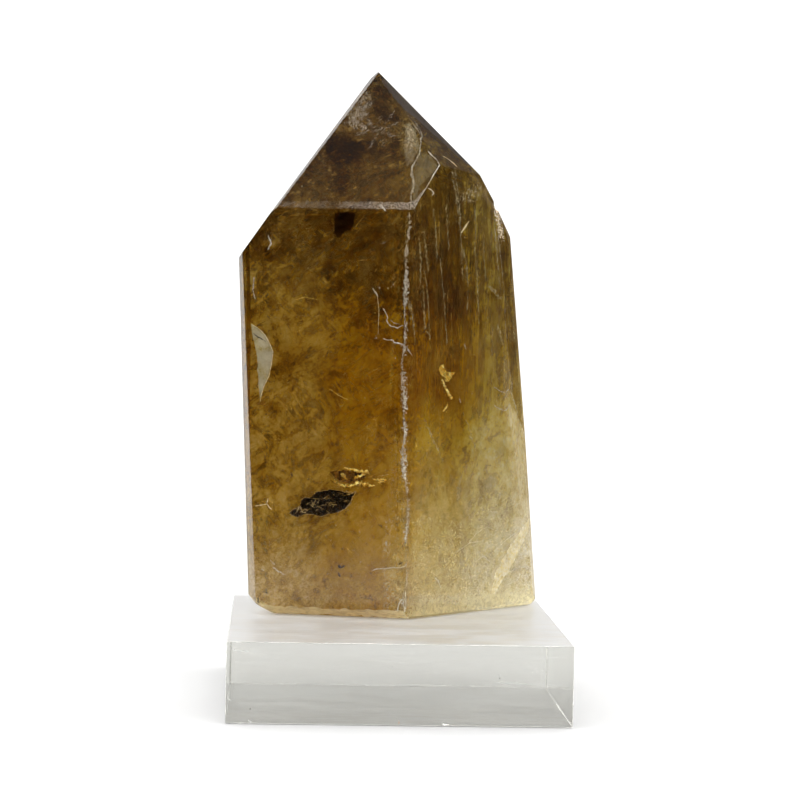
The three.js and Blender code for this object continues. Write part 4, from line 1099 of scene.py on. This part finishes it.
def make_inclusions():
    rng = random.Random(33)
    dark = solid_material("dark_leaf_film", (0.003, 0.002, 0.001), (0.05, 0.022, 0.006), 1.3, 0.3, bump=0.9)
    gold = solid_material("gold_film", (0.98, 0.60, 0.07), (1.0, 0.92, 0.38), 1.4, 0.3, metal=1.0, bump=0.5)
    pale = solid_material("pale_hair", (0.80, 0.62, 0.30), (1.0, 0.92, 0.66), 1.4, 0.4)
    leaf_vein = solid_material("leaf_vein", (0.20, 0.10, 0.03), (1.0, 0.78, 0.42), 1.8, 0.4)
    lens = solid_material("brown_film", (0.012, 0.006, 0.002), (0.55, 0.28, 0.04), 1.5, 0.3, metal=0.6, bump=1.0)
    window = solid_material("clear_parting", (0.40, 0.34, 0.20), (0.55, 0.48, 0.31), 0.25, 0.25, alpha=(0.72, 0.85))
    patch("dark_leaf_inclusion", FEATURES["leaf"], dark, step=0.32, wave=0.75, seed=4, smooth=False, back=0.15)
    patch("gold_rimmed_parting", FEATURES["lens"], lens, step=0.32, wave=0.6, seed=9, smooth=False, back=0.12)
    patch("gold_flake_inclusion", FEATURES["flake"], gold, step=0.3, wave=0.35, seed=14, smooth=False, back=0.1)
    patch("left_parting", FEATURES["window"], window, step=1.2, wave=0.12, seed=2, back=0.08)
    h = Heap()
    for key in ("g1", "g2", "g3", "g4", "g5", "g6", "tail", "tail2") + tuple("y%d" % i for i in range(1, 19)):
        pts = [[a, b, c, w * (1.35 if key[0] in "gt" else 0.8)] for a, b, c, w in FEATURES[key]]
        if key[0] in "gt" or key in ("y6", "y8", "y12"):
            h.put(*worm([[a, b, c, w * (1.0 if key[0] in "gt" else 0.4)] for a, b, c, w in pts], rng, 0.3, sides=5, step=0.25, flat=0.6))
        crumbs(h, pts, rng, 26 if key[0] in "gt" else 20, 0.9, 0.1)
    h.make("gold_threads", gold, inset=0.4)
    # ragged veins and folds across the leaf
    h = Heap()
    leaf = [Vector(q) for q in FEATURES["leaf"]]
    lo_x, hi_x = min(q.x for q in leaf), max(q.x for q in leaf)
    mid = sum(leaf, Vector()) / len(leaf)
    for k in range(46):
        t = rng.random()
        c = Vector((lo_x + (hi_x - lo_x) * (0.12 + 0.8 * t), mid.y - 0.75, mid.z - 1.9 + 4.2 * t + rng.uniform(-1.5, 1.5)))
        ang = rng.gauss(0.45, 0.6)
        length = rng.uniform(0.6, 2.6)
        pts = []
        for i in range(6):
            u = i / 5 - 0.5
            q = c + Vector((math.cos(ang), 0, math.sin(ang))) * length * u + Vector((0, 0, rng.uniform(-0.12, 0.12)))
            pts.append([q.x, q.y, q.z, rng.uniform(0.07, 0.17)])
        h.put(*worm(pts, rng, 0.3, sides=4, step=0.25, flat=0.5))
    for key in ("l1", "l2", "l3", "l4", "l5", "l6"):
        h.put(*worm([[a, b, c, w * 0.7] for a, b, c, w in FEATURES[key]], rng, 0.3, sides=4, step=0.3, flat=0.6))
    rim = leaf + leaf[:1]
    h.put(*worm([[q.x, q.y - 0.3, q.z, 0.13] for q in rim], rng, 0.5, sides=4, step=0.3, flat=0.6))
    h.make("leaf_veins", leaf_vein, inset=0.3)
    h = Heap()
    h.put(*worm([[a, b, c, w * 0.35] for a, b, c, w in FEATURES["m10"]], rng, 0.2, sides=4, step=0.35, flat=0.6))
    for key in ("h1", "h2", "c3", "c4"):
        h.put(*worm(FEATURES[key], rng, 0.12, sides=4, step=0.35, flat=0.6))
    ring = FEATURES["window"]
    h.put(*worm([[a, b - 0.15, c, 0.16] for a, b, c in ring[:10]], rng, 0.05, sides=4, step=0.35, flat=0.6))
    h.make("pale_threads", pale, inset=0.3)
    h = Heap()
    for key in ("d1", "d2", "d3", "d4", "d5", "d6", "wl") + tuple("k%d" % i for i in range(1, 11)):
        if key not in ("d3", "d6", "k9"):
            h.put(*worm([[a, b, c, w * 0.7] for a, b, c, w in FEATURES[key]], rng, 0.3, sides=5, step=0.3, flat=0.6))
        crumbs(h, FEATURES[key], rng, 24 if key in ("d3", "d6", "k9") else 10, 0.6, 0.12)
    h.make("dark_grains", dark, inset=0.3)
    white = solid_material("white_marks", (0.62, 0.60, 0.54), (0.97, 0.97, 0.95), 2.2, 0.4, alpha=(0.15, 1.0))
    h = Heap()
    for key in tuple("m%d" % i for i in range(1, 12) if i != 10) + tuple("w%d" % i for i in range(1, 15)):
        h.put(*worm([[a, b, c, w * (0.42 if key[0] == "w" else 0.58)] for a, b, c, w in FEATURES[key]], rng, 0.45, sides=4, step=0.25, flat=0.5))
        crumbs(h, FEATURES[key], rng, 14, 0.8, 0.07)
    h.make("white_marks", white, inset=0.15)
    h = Heap()
    # sparkling bruises round the bitten shoulder
    for k in range(420):
        t = rng.random()
        c = FOOT + Vector((25.6 + 3.6 * t ** 0.7, rng.uniform(-1.5, 2.5), 104.8 - 9.5 * t + rng.gauss(0, 0.8)))
        for nme in ("right_front", "right_edge_sliver", "right_front_point", "right"):
            n_, d_ = PLANES[nme]
            over = n_.dot(c) - (d_ - rng.uniform(0.05, 0.5))
            if over > 0:
                c -= n_ * over
        verts, faces = chip_flake(rng, rng.uniform(0.06, 0.24), thin=0.3)
        h.put([v + c for v in verts], faces)
    h.make("shoulder_sparkles", glint_material("shoulder_sparkle", (0.98, 0.96, 0.90)), inset=0.05)


def shell_film(name, mat, face, depth, group, wave, seed, step=2.0):
    """A cloudy film that follows one face at a given depth and meets the films behind the other faces of the group."""
    n, d = PLANES[face]
    cuts = [(PLANES[g][0], PLANES[g][1] - depth) for g in group if g != face]
    centre = n * (d - depth) + Vector((0, 0, 85)) - n * n.z * 85
    sheet(name, mat, n, centre, wave, step, seed, cuts=cuts)


FRONTS = ("front", "right_front", "front_main", "right_front_point")


def make_films():
    nf, nr = PLANES["front"][0], PLANES["right_front"][0]

    def deep(face, depth):
        n, d = PLANES[face]
        return n * (d - depth) + Vector((0, 0, 85)) - n * n.z * 85

    near, far = body_material("golden_body_near", 0.62, 0.0), body_material("golden_body_far", 0.82, 21.0)
    for k, face in enumerate(FRONTS):
        shell_film("body_film_near_%d" % (k + 1), near, face, 5.0, FRONTS, 0.35, 40 + k)
        shell_film("body_film_far_%d" % (k + 1), far, face, 11.0, FRONTS, 0.6, 50 + k)
    grain = smoke_material("foot_grain", "grain")
    clouds = smoke_material("golden_clouds", "clouds")
    sheet("cloud_film_1", clouds, nf, deep("front", 3.0), 0.9, 2.0, 3)
    sheet("cloud_film_2", clouds, (1, 0.25, 0.1), Vector((-8, 20, 85)), 2.0, 2.0, 5)
    sheet("grain_film_1", grain, nf, deep("front", 1.6), 0.4, 2.0, 6)
    sheet("grain_film_2", grain, nr, deep("right_front", 2.2), 0.4, 2.0, 7)
    # painted shade: ragged dark brown films over the dark patches at the tip and in the upper part of the stone
    shadow = smoke_material("smoke_shadow", "shadow")
    patch("smoke_shadow_up", FEATURES["shade_up"], shadow, step=0.7, wave=0.5, seed=31, fade=2.2)
    patch("smoke_shadow_mid", FEATURES["shade_mid"], shadow, step=0.7, wave=0.6, seed=32, fade=3.0)
    patch("smoke_shadow_low", FEATURES["shade_low"], smoke_material("smoke_dense", "dense"), step=0.5, wave=0.3, seed=33, fade=0.8)
    patch("smoke_shadow_left", FEATURES["shade_left"], shadow, step=0.7, wave=0.5, seed=34, fade=2.4)
    patch("smoke_shadow_mottle", FEATURES["shade_c1"], shadow, step=0.7, wave=0.5, seed=35, fade=3.0)
    patch("smoke_shadow_peak", FEATURES["apex_brown"], shadow, step=0.7, wave=0.3, seed=37, fade=1.6)
    patch("smoke_shadow_spot", FEATURES["dark_spot"], shadow, step=0.5, wave=0.3, seed=38, fade=1.2)
    patch("sliver_shade", FEATURES["sliver_shade"], smoke_material("edge_shade", "plain"), step=0.7, wave=0.03, seed=39)
    patch("growth_sector_brown", FEATURES["wedge"], smoke_material("growth_sector", "wedge"), step=0.7, wave=0.05, seed=36)


def make_veils():
    wisps = veil_material("golden_wisps", (0.80, 0.52, 0.15), "wisps", 0.5)
    streaks = veil_material("upright_streaks", (0.62, 0.46, 0.12), "streaks", 0.4)
    dust = veil_material("pale_dust", (0.94, 0.90, 0.72), "dust", 0.8)
    tip = veil_material("tip_veil", (0.84, 0.78, 0.68), "tip", 0.95)
    frost = veil_material("frosted_edge", (0.84, 0.78, 0.70), "frost", 0.7)
    ribbon = veil_material("white_ribbon", (1.0, 0.98, 0.90), "ribbon", 1.0)
    foot = veil_material("ground_foot", (0.97, 0.92, 0.74), "frost_all", 0.8)
    sheen = veil_material("slope_sheen", (0.15, 0.122, 0.10), "sheen", 0.92)
    clear = veil_material("olive_pane", (0.52, 0.47, 0.29), "pane", 0.42)
    yellow = veil_material("yellow_sector", (0.76, 0.66, 0.10), "pane", 0.34)
    wall = veil_material("crack_wall", (0.36, 0.30, 0.17), "streaks", 0.9)

    def deep(face, depth):
        n, d = PLANES[face]
        return n * (d - depth) + Vector((0, 0, 85)) - n * n.z * 85

    sheet("dust_film_1", dust, PLANES["right_front"][0], deep("right_front", 3.6), 0.9, 2.0, 11)
    sheet("wisp_film_1", wisps, PLANES["front"][0], deep("front", 3.8), 1.0, 2.0, 13)
    sheet("streak_film", streaks, PLANES["right_front"][0], deep("right_front", 2.6), 0.7, 2.0, 15,
          cuts=[((0, 0, -1), -55)])
    sheet("ground_foot_film", foot, (0, 0, 1), FOOT + Vector((0, 0, 0.7)), 0.15, 2.0, 17, inset=0.35)
    sheet("foot_glow_film", veil_material("foot_glow", (0.92, 0.89, 0.66), "foot_glow", 0.75), PLANES["right_front"][0],
          deep("right_front", 1.1), 0.25, 1.2, 19, cuts=[((0, 0, 1), 27.5)], inset=0.35)
    rim = veil_material("ground_rim", (0.98, 0.93, 0.72), "bevel", 0.95)
    for name in ("front_bevel", "right_front_bevel", "left_bevel", "right_bevel", "back_bevel", "left_back_bevel"):
        ring = [CORNERS[i] for i in RINGS[name]]
        mid = sum(ring, Vector()) / len(ring)
        patch("%s_film" % name, [mid.lerp(q, 0.985) for q in ring], rim, step=1.2, wave=0.05, seed=61,
              drop=-PLANES[name][0] * 0.3)
    patch("tip_veil_film", FEATURES["veiltip"], tip, step=0.6, wave=0.9, seed=5, fade=1.2)
    patch("tip_fibre_film", FEATURES["patch"], tip, step=0.6, wave=0.7, seed=6, fade=2.0)
    patch("frosted_edge_film", FEATURES["band"], frost, step=0.5, wave=0.03, seed=7)
    patch("slope_sheen_film", FEATURES["slope_sheen"], sheen, step=0.8, wave=0.02, seed=8)
    patch("olive_facet_film", FEATURES["tip_facet"], veil_material("olive_facet", (0.66, 0.58, 0.38), "pane_soft", 0.5),
          step=0.6, wave=0.1, seed=16, fade=0.6)
    patch("olive_pane_film", FEATURES["tri_clear"], clear, step=0.8, wave=0.05, seed=9)
    patch("yellow_sector_film", FEATURES["yellow"], yellow, step=0.9, wave=0.05, seed=10)
    patch("peak_film", FEATURES["peak"], yellow, step=0.5, wave=0.2, seed=11)
    patch("crack_wall_film", FEATURES["crack_wall"], wall, step=0.5, wave=0.2, seed=12)
    patch("shoulder_speckle", FEATURES["shoulder_patch"], veil_material("shoulder_frost", (0.85, 0.80, 0.62), "specks", 1.0), step=0.5, wave=0.1, seed=13, fade=1.0)
    patch("right_haze_film", FEATURES["right_haze"], veil_material("grey_haze", (0.80, 0.78, 0.66), "pane_soft", 0.6), step=0.8, wave=0.1, seed=14, fade=1.0)
    pts = FEATURES["ribbon"]
    left, right = [], []
    for k, q in enumerate(pts):
        a, b = Vector(pts[max(k - 1, 0)][:3]), Vector(pts[min(k + 1, len(pts) - 1)][:3])
        side = (b - a).cross(PLANES["right_front"][0]).normalized()
        left.append(Vector(q[:3]) + side * q[3] * 1.2)
        right.append(Vector(q[:3]) - side * q[3] * 1.2)
    patch("white_veil_ribbon", left + right[::-1], ribbon, step=0.5, wave=0.6, seed=8, fade=0.3)
    # upright threads in the right half, and the brushed white strokes at the tip
    rng = random.Random(9)
    pale = solid_material("upright_threads", (0.42, 0.33, 0.15), (0.76, 0.66, 0.38), 0.7, 0.5, alpha=(0.0, 0.4))
    h = Heap()
    for i in range(1, 23):
        h.put(*worm([[a, b, c, w * 1.0] for a, b, c, w in FEATURES["u%d" % i]], rng, 0.45, sides=4, step=0.4, flat=0.5))
    h.make("upright_threads", pale, inset=0.3)
    brush = solid_material("brushed_strokes", (0.34, 0.29, 0.22), (0.80, 0.75, 0.67), 1.2, 0.5, alpha=(0.05, 0.7))
    h = Heap()
    vt = [Vector(q) for q in FEATURES["veiltip"]]
    mid = sum(vt, Vector()) / len(vt)
    for k in range(150):
        q = mid.lerp(rng.choice(vt), rng.random() ** 0.6 * 0.95) - PLANES["front_main"][0] * rng.uniform(-1.2, 0.6)
        ang = rng.gauss(-0.75, 0.3) if k % 3 else rng.gauss(0.7, 0.3)
        _, u, v = in_plane("front_main")
        d3 = u * math.cos(ang) + v * math.sin(ang)
        side = u * -math.sin(ang) + v * math.cos(ang)
        length, bow = rng.uniform(0.8, 2.6), rng.uniform(-0.25, 0.25)
        pts = []
        for i in range(6):
            t = i / 5 - 0.5
            c = q + d3 * length * t + side * bow * (1 - 4 * t * t)
            pts.append([c.x, c.y, c.z, rng.uniform(0.05, 0.16) * (1 - 1.3 * abs(t))])
        h.put(*worm(pts, rng, 0.2, sides=4, step=5, flat=0.6))
    vt = [Vector(q) for q in FEATURES["brush_fan"]]
    mid = sum(vt, Vector()) / len(vt)
    for k in range(110):
        q = mid.lerp(rng.choice(vt), rng.random() ** 0.6 * 0.95) - PLANES["front_main"][0] * rng.uniform(-0.8, 0.8)
        ang = rng.gauss(0.75, 0.3)
        _, u, v = in_plane("front_main")
        d3 = u * math.cos(ang) + v * math.sin(ang)
        side = u * -math.sin(ang) + v * math.cos(ang)
        length, bow = rng.uniform(0.7, 2.4), rng.uniform(-0.3, 0.3)
        pts = []
        for i in range(6):
            t = i / 5 - 0.5
            c = q + d3 * length * t + side * bow * (1 - 4 * t * t)
            pts.append([c.x, c.y, c.z, rng.uniform(0.04, 0.13) * (1 - 1.3 * abs(t))])
        h.put(*worm(pts, rng, 0.2, sides=4, step=5, flat=0.6))
    h.make("brushed_tip_strokes", brush, inset=0.3)


def make_fibres():
    """Hair-fine golden needles and grains all through the stone."""
    rng = random.Random(71)
    gold = solid_material("golden_needles", (0.55, 0.34, 0.07), (0.95, 0.74, 0.32), 0.6, 0.45, alpha=(0.25, 0.9))
    pale = solid_material("pale_needles", (0.60, 0.50, 0.28), (0.93, 0.88, 0.66), 0.6, 0.45, alpha=(0.2, 0.85))
    dark = solid_material("brown_grains", (0.05, 0.025, 0.006), (0.22, 0.12, 0.03), 0.8, 0.5, alpha=(0.4, 1.0))
    lo_, hi_ = STONE_LO * 1000, STONE_HI * 1000

    def spot(zlo, zhi, inset=1.0, tries=60):
        for _ in range(tries):
            p = Vector((rng.uniform(lo_.x, hi_.x), rng.uniform(lo_.y, hi_.y), rng.uniform(zlo, zhi)))
            if inside(p, inset):
                return p
        return None

    needles, upright = Heap(), Heap()
    for k in range(900):
        p = spot(24, 146, 2.0)
        if p is None:
            continue
        tall = p.x > 4 and p.z > 60
        if tall and rng.random() < 0.5:
            continue
        if tall:
            d = Vector((rng.gauss(0, 0.06), rng.gauss(0, 0.06), 1)).normalized()
            length = rng.uniform(2.0, 9.0)
        else:
            ang = 2.6 * noise.noise(p * 0.035) + rng.gauss(0.5, 0.35)
            d = Vector((math.cos(ang), rng.gauss(0, 0.35), math.sin(ang))).normalized()
            length = rng.uniform(0.8, 4.5)
        bow = Vector((rng.gauss(0, 1), rng.gauss(0, 1), rng.gauss(0, 1))) * length * 0.05
        w = rng.uniform(0.06, 0.15)
        pts = []
        for i in range(6):
            t = i / 5 - 0.5
            q = p + d * length * t + bow * (1 - 4 * t * t)
            pts.append([q.x, q.y, q.z, w * (1 - 1.2 * abs(t))])
        if inside(Vector(pts[0][:3]), 0.5) and inside(Vector(pts[-1][:3]), 0.5):
            (upright if tall or p.x > 16 else needles).put(*worm(pts, rng, 0.3, sides=3, step=9, flat=1.0))
    needles.make("golden_needle_field", gold, smooth=True, inset=0.2)
    upright.make("upright_needle_field", gold, smooth=True, inset=0.2)
    light, brown = Heap(), Heap()
    for k in range(3600):
        zhi = 44 if rng.random() < 0.62 else 146
        p = spot(22, zhi, 0.5)
        if p is None:
            continue
        if p.x < 10 and rng.random() < 0.5:
            verts, faces = chip_flake(rng, rng.uniform(0.08, 0.26), thin=0.2)
            brown.put([v + p for v in verts], faces)
        else:
            verts, faces = chip_flake(rng, rng.uniform(0.06, 0.24), thin=0.2)
            light.put([v + p for v in verts], faces)
    light.make("pale_grain_field", pale, inset=0.2)
    brown.make("brown_grain_field", dark, inset=0.2)


# ------------------------------------------------------------------ the acrylic block
def block_material():
    m, n = material("clear_acrylic")
    x, y, z = n.xyz()
    saw = n.noise(n.point((0.07, 1, 1.0)), 0.42, 3, 0.55, 0.3)
    fine = n.noise(n.point((0.05, 1, 1.6), (0, 1.5, 0)), 1.1, 4, 0.6, 0.2)
    blot = n.noise(n.point((0.5, 1, 1)), 0.12, 3, 0.55, 0.6)
    _, ny, nz = n.split(n.add("ShaderNodeNewGeometry", "True Normal"))
    wall = n.ramp(n.math("ABSOLUTE", nz), 0.3, 0.7, 1.0, 0.0)
    rear = n.ramp(ny, 0.6, 0.9)
    lid, underside_shade = n.ramp(nz, 0.6, 0.9), n.ramp(n.mul(nz, -1.0), 0.6, 0.9)
    smear = n.noise(n.point((0.35, 1, 1), (0, 0, 6)), 0.16, 5, 0.62, 1.2)
    near = n.ramp(y, 24, -26)
    streak = n.noise(n.point((0.12, 1, 1), (0, 0, 12)), 0.7, 5, 0.68, 0.9)
    pale = n.product(lid, n.ramp(streak, 0.42, 0.68), n.ramp(y, 6, -6), 0.5)
    # painted reflection: a brownish patch on the front of the lid, where the stone is mirrored
    brown = n.product(lid, n.ramp(y, -12, -26), n.bump_at(x, -20.0, 22.0), n.ramp(streak, 0.58, 0.42, 0.35, 1.0))
    haze = n.total(n.product(lid, n.ramp(smear, 0.34, 0.64, 0.54, 0.64)), n.mul(underside_shade, 0.6),
                   n.product(rear, n.ramp(saw, 0.42, 0.62, 0.06, 0.34)), n.product(wall, n.ramp(fine, 0.5, 0.75), 0.04), n.mul(pale, 0.08))
    colour = n.mix(wall, (0.97, 0.97, 0.96), (0.80, 0.80, 0.785))
    colour = n.mix(n.product(rear, n.ramp(saw, 0.42, 0.62)), colour, (0.88, 0.88, 0.87))
    colour = n.mix(n.product(lid, near, n.ramp(smear, 0.62, 0.4)), colour, (0.90, 0.875, 0.82))
    # painted reflection of the stone on the lid
    colour = n.mix(brown, colour, (0.86, 0.83, 0.78))
    colour = n.mix(pale, colour, (1.0, 1.0, 0.985))
    # painted shade: the underside is a hazy mid grey, so the lower part of the block seen through its walls reads
    # darker, as where it rests on the floor
    colour = n.mix(underside_shade, colour, (0.50, 0.49, 0.465))
    rough = n.plus(n.product(wall, n.ramp(fine, 0.45, 0.8), 0.08), n.mul(lid, n.ramp(smear, 0.3, 0.7, 0.3, 0.42)))
    bump = n.add("ShaderNodeBump", 0, {"Strength": 0.05, "Distance": 0.0004, "Height": n.plus(n.product(fine, wall, 0.5), n.mul(blot, 0.6))})
    g = n.add("ShaderNodeBsdfPrincipled", 0, {"Base Color": colour, "Roughness": rough, "IOR": 1.49,
                                               "Transmission Weight": n.minus(1.0, haze), "Normal": bump})
    v = n.add("ShaderNodeVolumeAbsorption", 0, {"Color": (0.90, 0.90, 0.885), "Density": 34.0})
    n.out(g, v)
    return m


def make_block():
    bm = bmesh.new()
    bmesh.ops.create_cube(bm, size=1.0)
    size = BLOCK_HI - BLOCK_LO
    mid = (BLOCK_LO + BLOCK_HI) / 2
    for v in bm.verts:
        v.co = Vector((v.co.x * size.x, v.co.y * size.y, v.co.z * size.z)) + mid
    bmesh.ops.bevel(bm, geom=list(bm.edges), offset=0.00035, segments=3, profile=0.6, affect="EDGES")
    ob = mesh_object("acrylic_block", bm, [block_material()])
    keep(ob)
    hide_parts("acrylic_base")
    return ob


def pack_block(name, heap, mat, smooth=False):
    """A heap of marks on the block, held within its outline."""
    for k, p in enumerate(heap.v):
        heap.v[k] = Vector([min(max(p[i], BLOCK_LO[i] * 1000 + 0.01), BLOCK_HI[i] * 1000 - 0.01) for i in range(3)])
    return keep(from_lists(name, heap.v, heap.f, [mat], smooth))


def saw_material(name, strength):
    m, n = material(name)
    p = n.point((0.05, 0.05, 1.0))
    lines = n.noise(p, 0.55, 5, 0.68, 0.6)
    cloud = n.noise(n.point((0.3, 0.3, 1.0), shift=(3, 3, 3)), 0.16, 3, 0.55, 0.6)
    _, _, z = n.xyz()
    k = n.product(n.ramp(lines, 0.4, 0.74), n.ramp(cloud, 0.36, 0.6, 0.3, 1.0), n.ramp(z, 8.5, 10.5, 0.22, 1.0), strength)
    left = n.minus(1.0, n.mul(k, 0.4))
    seen = n.add("ShaderNodeBsdfTransparent", 0, {0: n.add("ShaderNodeCombineColor", 0, {0: left, 1: left, 2: left})})
    none = n.add("ShaderNodeBsdfTransparent", 0, {0: (0, 0, 0)})
    tone = n.mix(cloud, (0.90, 0.90, 0.89), (0.98, 0.98, 0.98))
    body = n.shaders(0.5, n.add("ShaderNodeBsdfDiffuse", 0, {0: tone}), n.add("ShaderNodeBsdfTranslucent", 0, {0: tone}))
    n.out(n.add("ShaderNodeAddShader", 0, {0: seen, 1: n.shaders(k, none, body)}))
    return m


def make_saw_films():
    """Faint level streaks just inside each sawn wall of the block."""
    front, other = saw_material("saw_streaks_front", 0.42), saw_material("saw_streaks", 0.12)
    mid, half = (BLOCK_LO + BLOCK_HI) * 500, (BLOCK_HI - BLOCK_LO) * 500
    for i, (ax, sign) in enumerate(((1, -1), (0, 1), (1, 1), (0, -1))):
        verts, faces, nu, nv = [], [], 40, 10
        for b_ in range(nv + 1):
            for a_ in range(nu + 1):
                p_ = [0.0, 0.0, mid.z + half.z * 0.94 * (2 * b_ / nv - 1)]
                p_[1 - ax] = mid[1 - ax] + (half[1 - ax] - 1.6) * (2 * a_ / nu - 1)
                p_[ax] = mid[ax] + sign * (half[ax] - 1.2) + 0.12 * noise.noise(Vector((a_ * 0.3, b_ * 0.5, i * 3.0)))
                verts.append(Vector(p_))
        for b_ in range(nv):
            for a_ in range(nu):
                q = b_ * (nu + 1) + a_
                faces.append([q, q + 1, q + nu + 2, q + nu + 1])
        keep(from_lists("saw_film_%d" % (i + 1), verts, faces, [other if i else front], True))


def make_block_marks():
    """Rubbed edges with painted highlights along them, nicks, scratches and painted glints on the block."""
    rng = random.Random(88)
    lo_, hi_ = BLOCK_LO * 1000, BLOCK_HI * 1000
    # painted highlights: the white for the block's edges and for the glints where the stone meets the lid
    white = glint_material("rubbed_acrylic_highlight", (0.97, 0.96, 0.95), 0.7)
    nick = glint_material("nick_and_glint_acrylic", (0.98, 0.98, 0.97), 1.0)
    warm = solid_material("stained_nick", (0.85, 0.52, 0.36), (0.98, 0.90, 0.82), 1.2, 0.5)
    grit = solid_material("grit", (0.10, 0.09, 0.08), (0.26, 0.24, 0.22), 1.5, 0.7)
    h = Heap()
    x0, x1, y0, y1, z0, z1 = lo_.x, hi_.x, lo_.y, hi_.y, lo_.z, hi_.z
    e = 0.1
    # painted highlight: thin white strands and small chips along the block's edges stand in for the bright lines its
    # edges catch
    rails = [((x0, y0 + e, z1 - e), (x1, y0 + e, z1 - e), 0.16), ((x1 - e, y0, z1 - e), (x1 - e, y1, z1 - e), 0.18),
             ((x0 + e, y0, z1 - e), (x0 + e, y1, z1 - e), 0.12), ((x0, y1 - e, z1 - e), (x1, y1 - e, z1 - e), 0.14),
             ((x0, y0 + e, z0 + e), (x1, y0 + e, z0 + e), 0.12), ((x1 - e, y0 + e, z0), (x1 - e, y0 + e, z1), 0.14),
             ((x0 + e, y0 + e, z0), (x0 + e, y0 + e, z1), 0.12), ((x0, y1 - e, z0 + e), (x1, y1 - e, z0 + e), 0.26),
             ((x1 - e, y0, z0 + e), (x1 - e, y1, z0 + e), 0.06), ((x1 - e, y1 - e, z0), (x1 - e, y1 - e, z1), 0.1)]
    for a, b, w in rails:
        h.put(*worm([[*a, w], [*b, w]], rng, 0.25, sides=4, step=0.8, flat=0.9, normal=Vector((0.3, -0.7, 0.64))))
        for _ in range(26):
            q = Vector(a).lerp(Vector(b), rng.random())
            verts, faces = chip_flake(rng, rng.uniform(0.07, 0.24), thin=0.3)
            h.put([v + q for v in verts], faces)
    pack_block("rubbed_edges_and_highlights", h, white)

    def front(px, z, depth=0.15):      # a point just behind the front face, px mm from its left end
        return [x0 + px, y0 + depth, z]

    def stroke(heap, pts, w, wobble=0.2):
        heap.put(*worm([[*p, w] for p in pts], rng, wobble, sides=4, step=0.3, flat=0.7))

    h = Heap()
    stroke(h, [(x1 - 4.4, y0 + 1.5, 6.0), (x1 - 2.4, y0 + 0.7, 3.1), (x1 - 0.4, y0 + 0.2, 0.6)], 0.12, 0.05)      # scratches at the right
    stroke(h, [(x1 - 3.2, y0 + 10, z1 - 0.15), (x1 - 1.4, y0 + 0.4, z1 - 0.15)], 0.16, 0.05)
    stroke(h, [front(0.3, 6.2), front(1.4, 5.1)], 0.14)
    stroke(h, [front(5.3, 0.9), front(5.9, 0.5), front(6.3, 0.3)], 0.28)
    stroke(h, [front(39.6, 1.9), front(39.9, 1.2)], 0.3)
    stroke(h, [front(50.2, 0.8), front(50.9, 0.4), front(52.0, 0.3), front(50.6, 0.35)], 0.2)
    stroke(h, [front(63.4, 12.3), front(63.9, 12.0)], 0.5)
    for a_, c_, n_, r_ in ((71.0, 14.2, 26, 0.9), (72.6, 12.6, 18, 0.7), (38.2, 13.4, 16, 0.6), (66.0, 10.4, 14, 1.3)):
        for _ in range(n_):            # soft bruises inside
            q = Vector(front(a_ + rng.gauss(0, r_), c_ + rng.gauss(0, r_ * 0.6), rng.uniform(2, 6)))
            verts, faces = chip_flake(rng, rng.uniform(0.05, 0.16), thin=0.3)
            h.put([v + q for v in verts], faces)
    for _ in range(46):                # a bruised patch near the right end of the front edge
        q = Vector(front(rng.uniform(69, 76), rng.uniform(0.3, 2.4), rng.uniform(0.05, 0.6)))
        verts, faces = chip_flake(rng, rng.uniform(0.03, 0.1), thin=0.3)
        h.put([v + q for v in verts], faces)
    for _ in range(320):               # dust and hairlines on the lid
        q = Vector((rng.uniform(x0, x1), rng.uniform(y0, y1), z1 - 0.06))
        if rng.random() < 0.2:
            t = Vector((rng.uniform(0.6, 3.5), rng.gauss(0, 0.5), 0))
            h.put(*worm([[q.x, q.y, q.z, 0.05], [q.x + t.x, q.y + t.y, q.z, 0.05]], rng, 0.3, sides=3, step=0.6, flat=0.5))
        else:
            verts, faces = chip_flake(rng, rng.uniform(0.03, 0.12), thin=0.3)
            h.put([v + q for v in verts], faces)
    # painted highlights: bright white flakes on the lid where the stone meets it
    for cx, cy, w in ((-12, 0.4, 0.5), (2.5, -1.9, 0.6), (13, 1.0, 0.5), (17.5, 3.2, 0.7), (12.4, -3.6, 0.4), (18.3, -9.5, 0.5), (14.0, -7.5, 0.35)):
        for _ in range(12):
            q = Vector((cx + rng.gauss(0, 1.3), cy + rng.gauss(0, 0.5), z1 - 0.05))
            verts, faces = chip_flake(rng, rng.uniform(0.05, 0.22) * w * 1.6, thin=0.3)
            h.put([v + q for v in verts], faces)
    pack_block("block_nicks_and_glints", h, nick)
    h = Heap()
    stroke(h, [front(40.1, 1.2, 0.3), front(40.4, 0.7, 0.3), front(40.2, 0.2, 0.3)], 0.24)
    pack_block("block_stained_nick", h, warm)
    h = Heap()
    for c in (front(5.8, 3.4), front(63.6, 11.3, 0.6), (x0 + 8.8, y0 + 12.0, z1 - 0.1), (x1 - 4.1, y0 + 16, z1 - 0.1)):
        verts, faces = rock(rng, 0.17)
        h.put([v + Vector(c) for v in verts], faces)
    pack_block("block_grit", h, grit)


make_camera()
make_world()
make_floor()
make_stone()
make_cracks()
make_inclusions()
make_films()
make_veils()
make_fibres()
make_block()
make_block_marks()
make_saw_films()

sc = bpy.context.scene
sc.view_settings.view_transform = "Standard"
sc.view_settings.look = "None"
sc.cycles.use_denoising = True
sc.cycles.max_bounces = 24
sc.cycles.transmission_bounces = 24
sc.cycles.glossy_bounces = 12
sc.cycles.diffuse_bounces = 4
sc.cycles.transparent_max_bounces = 64
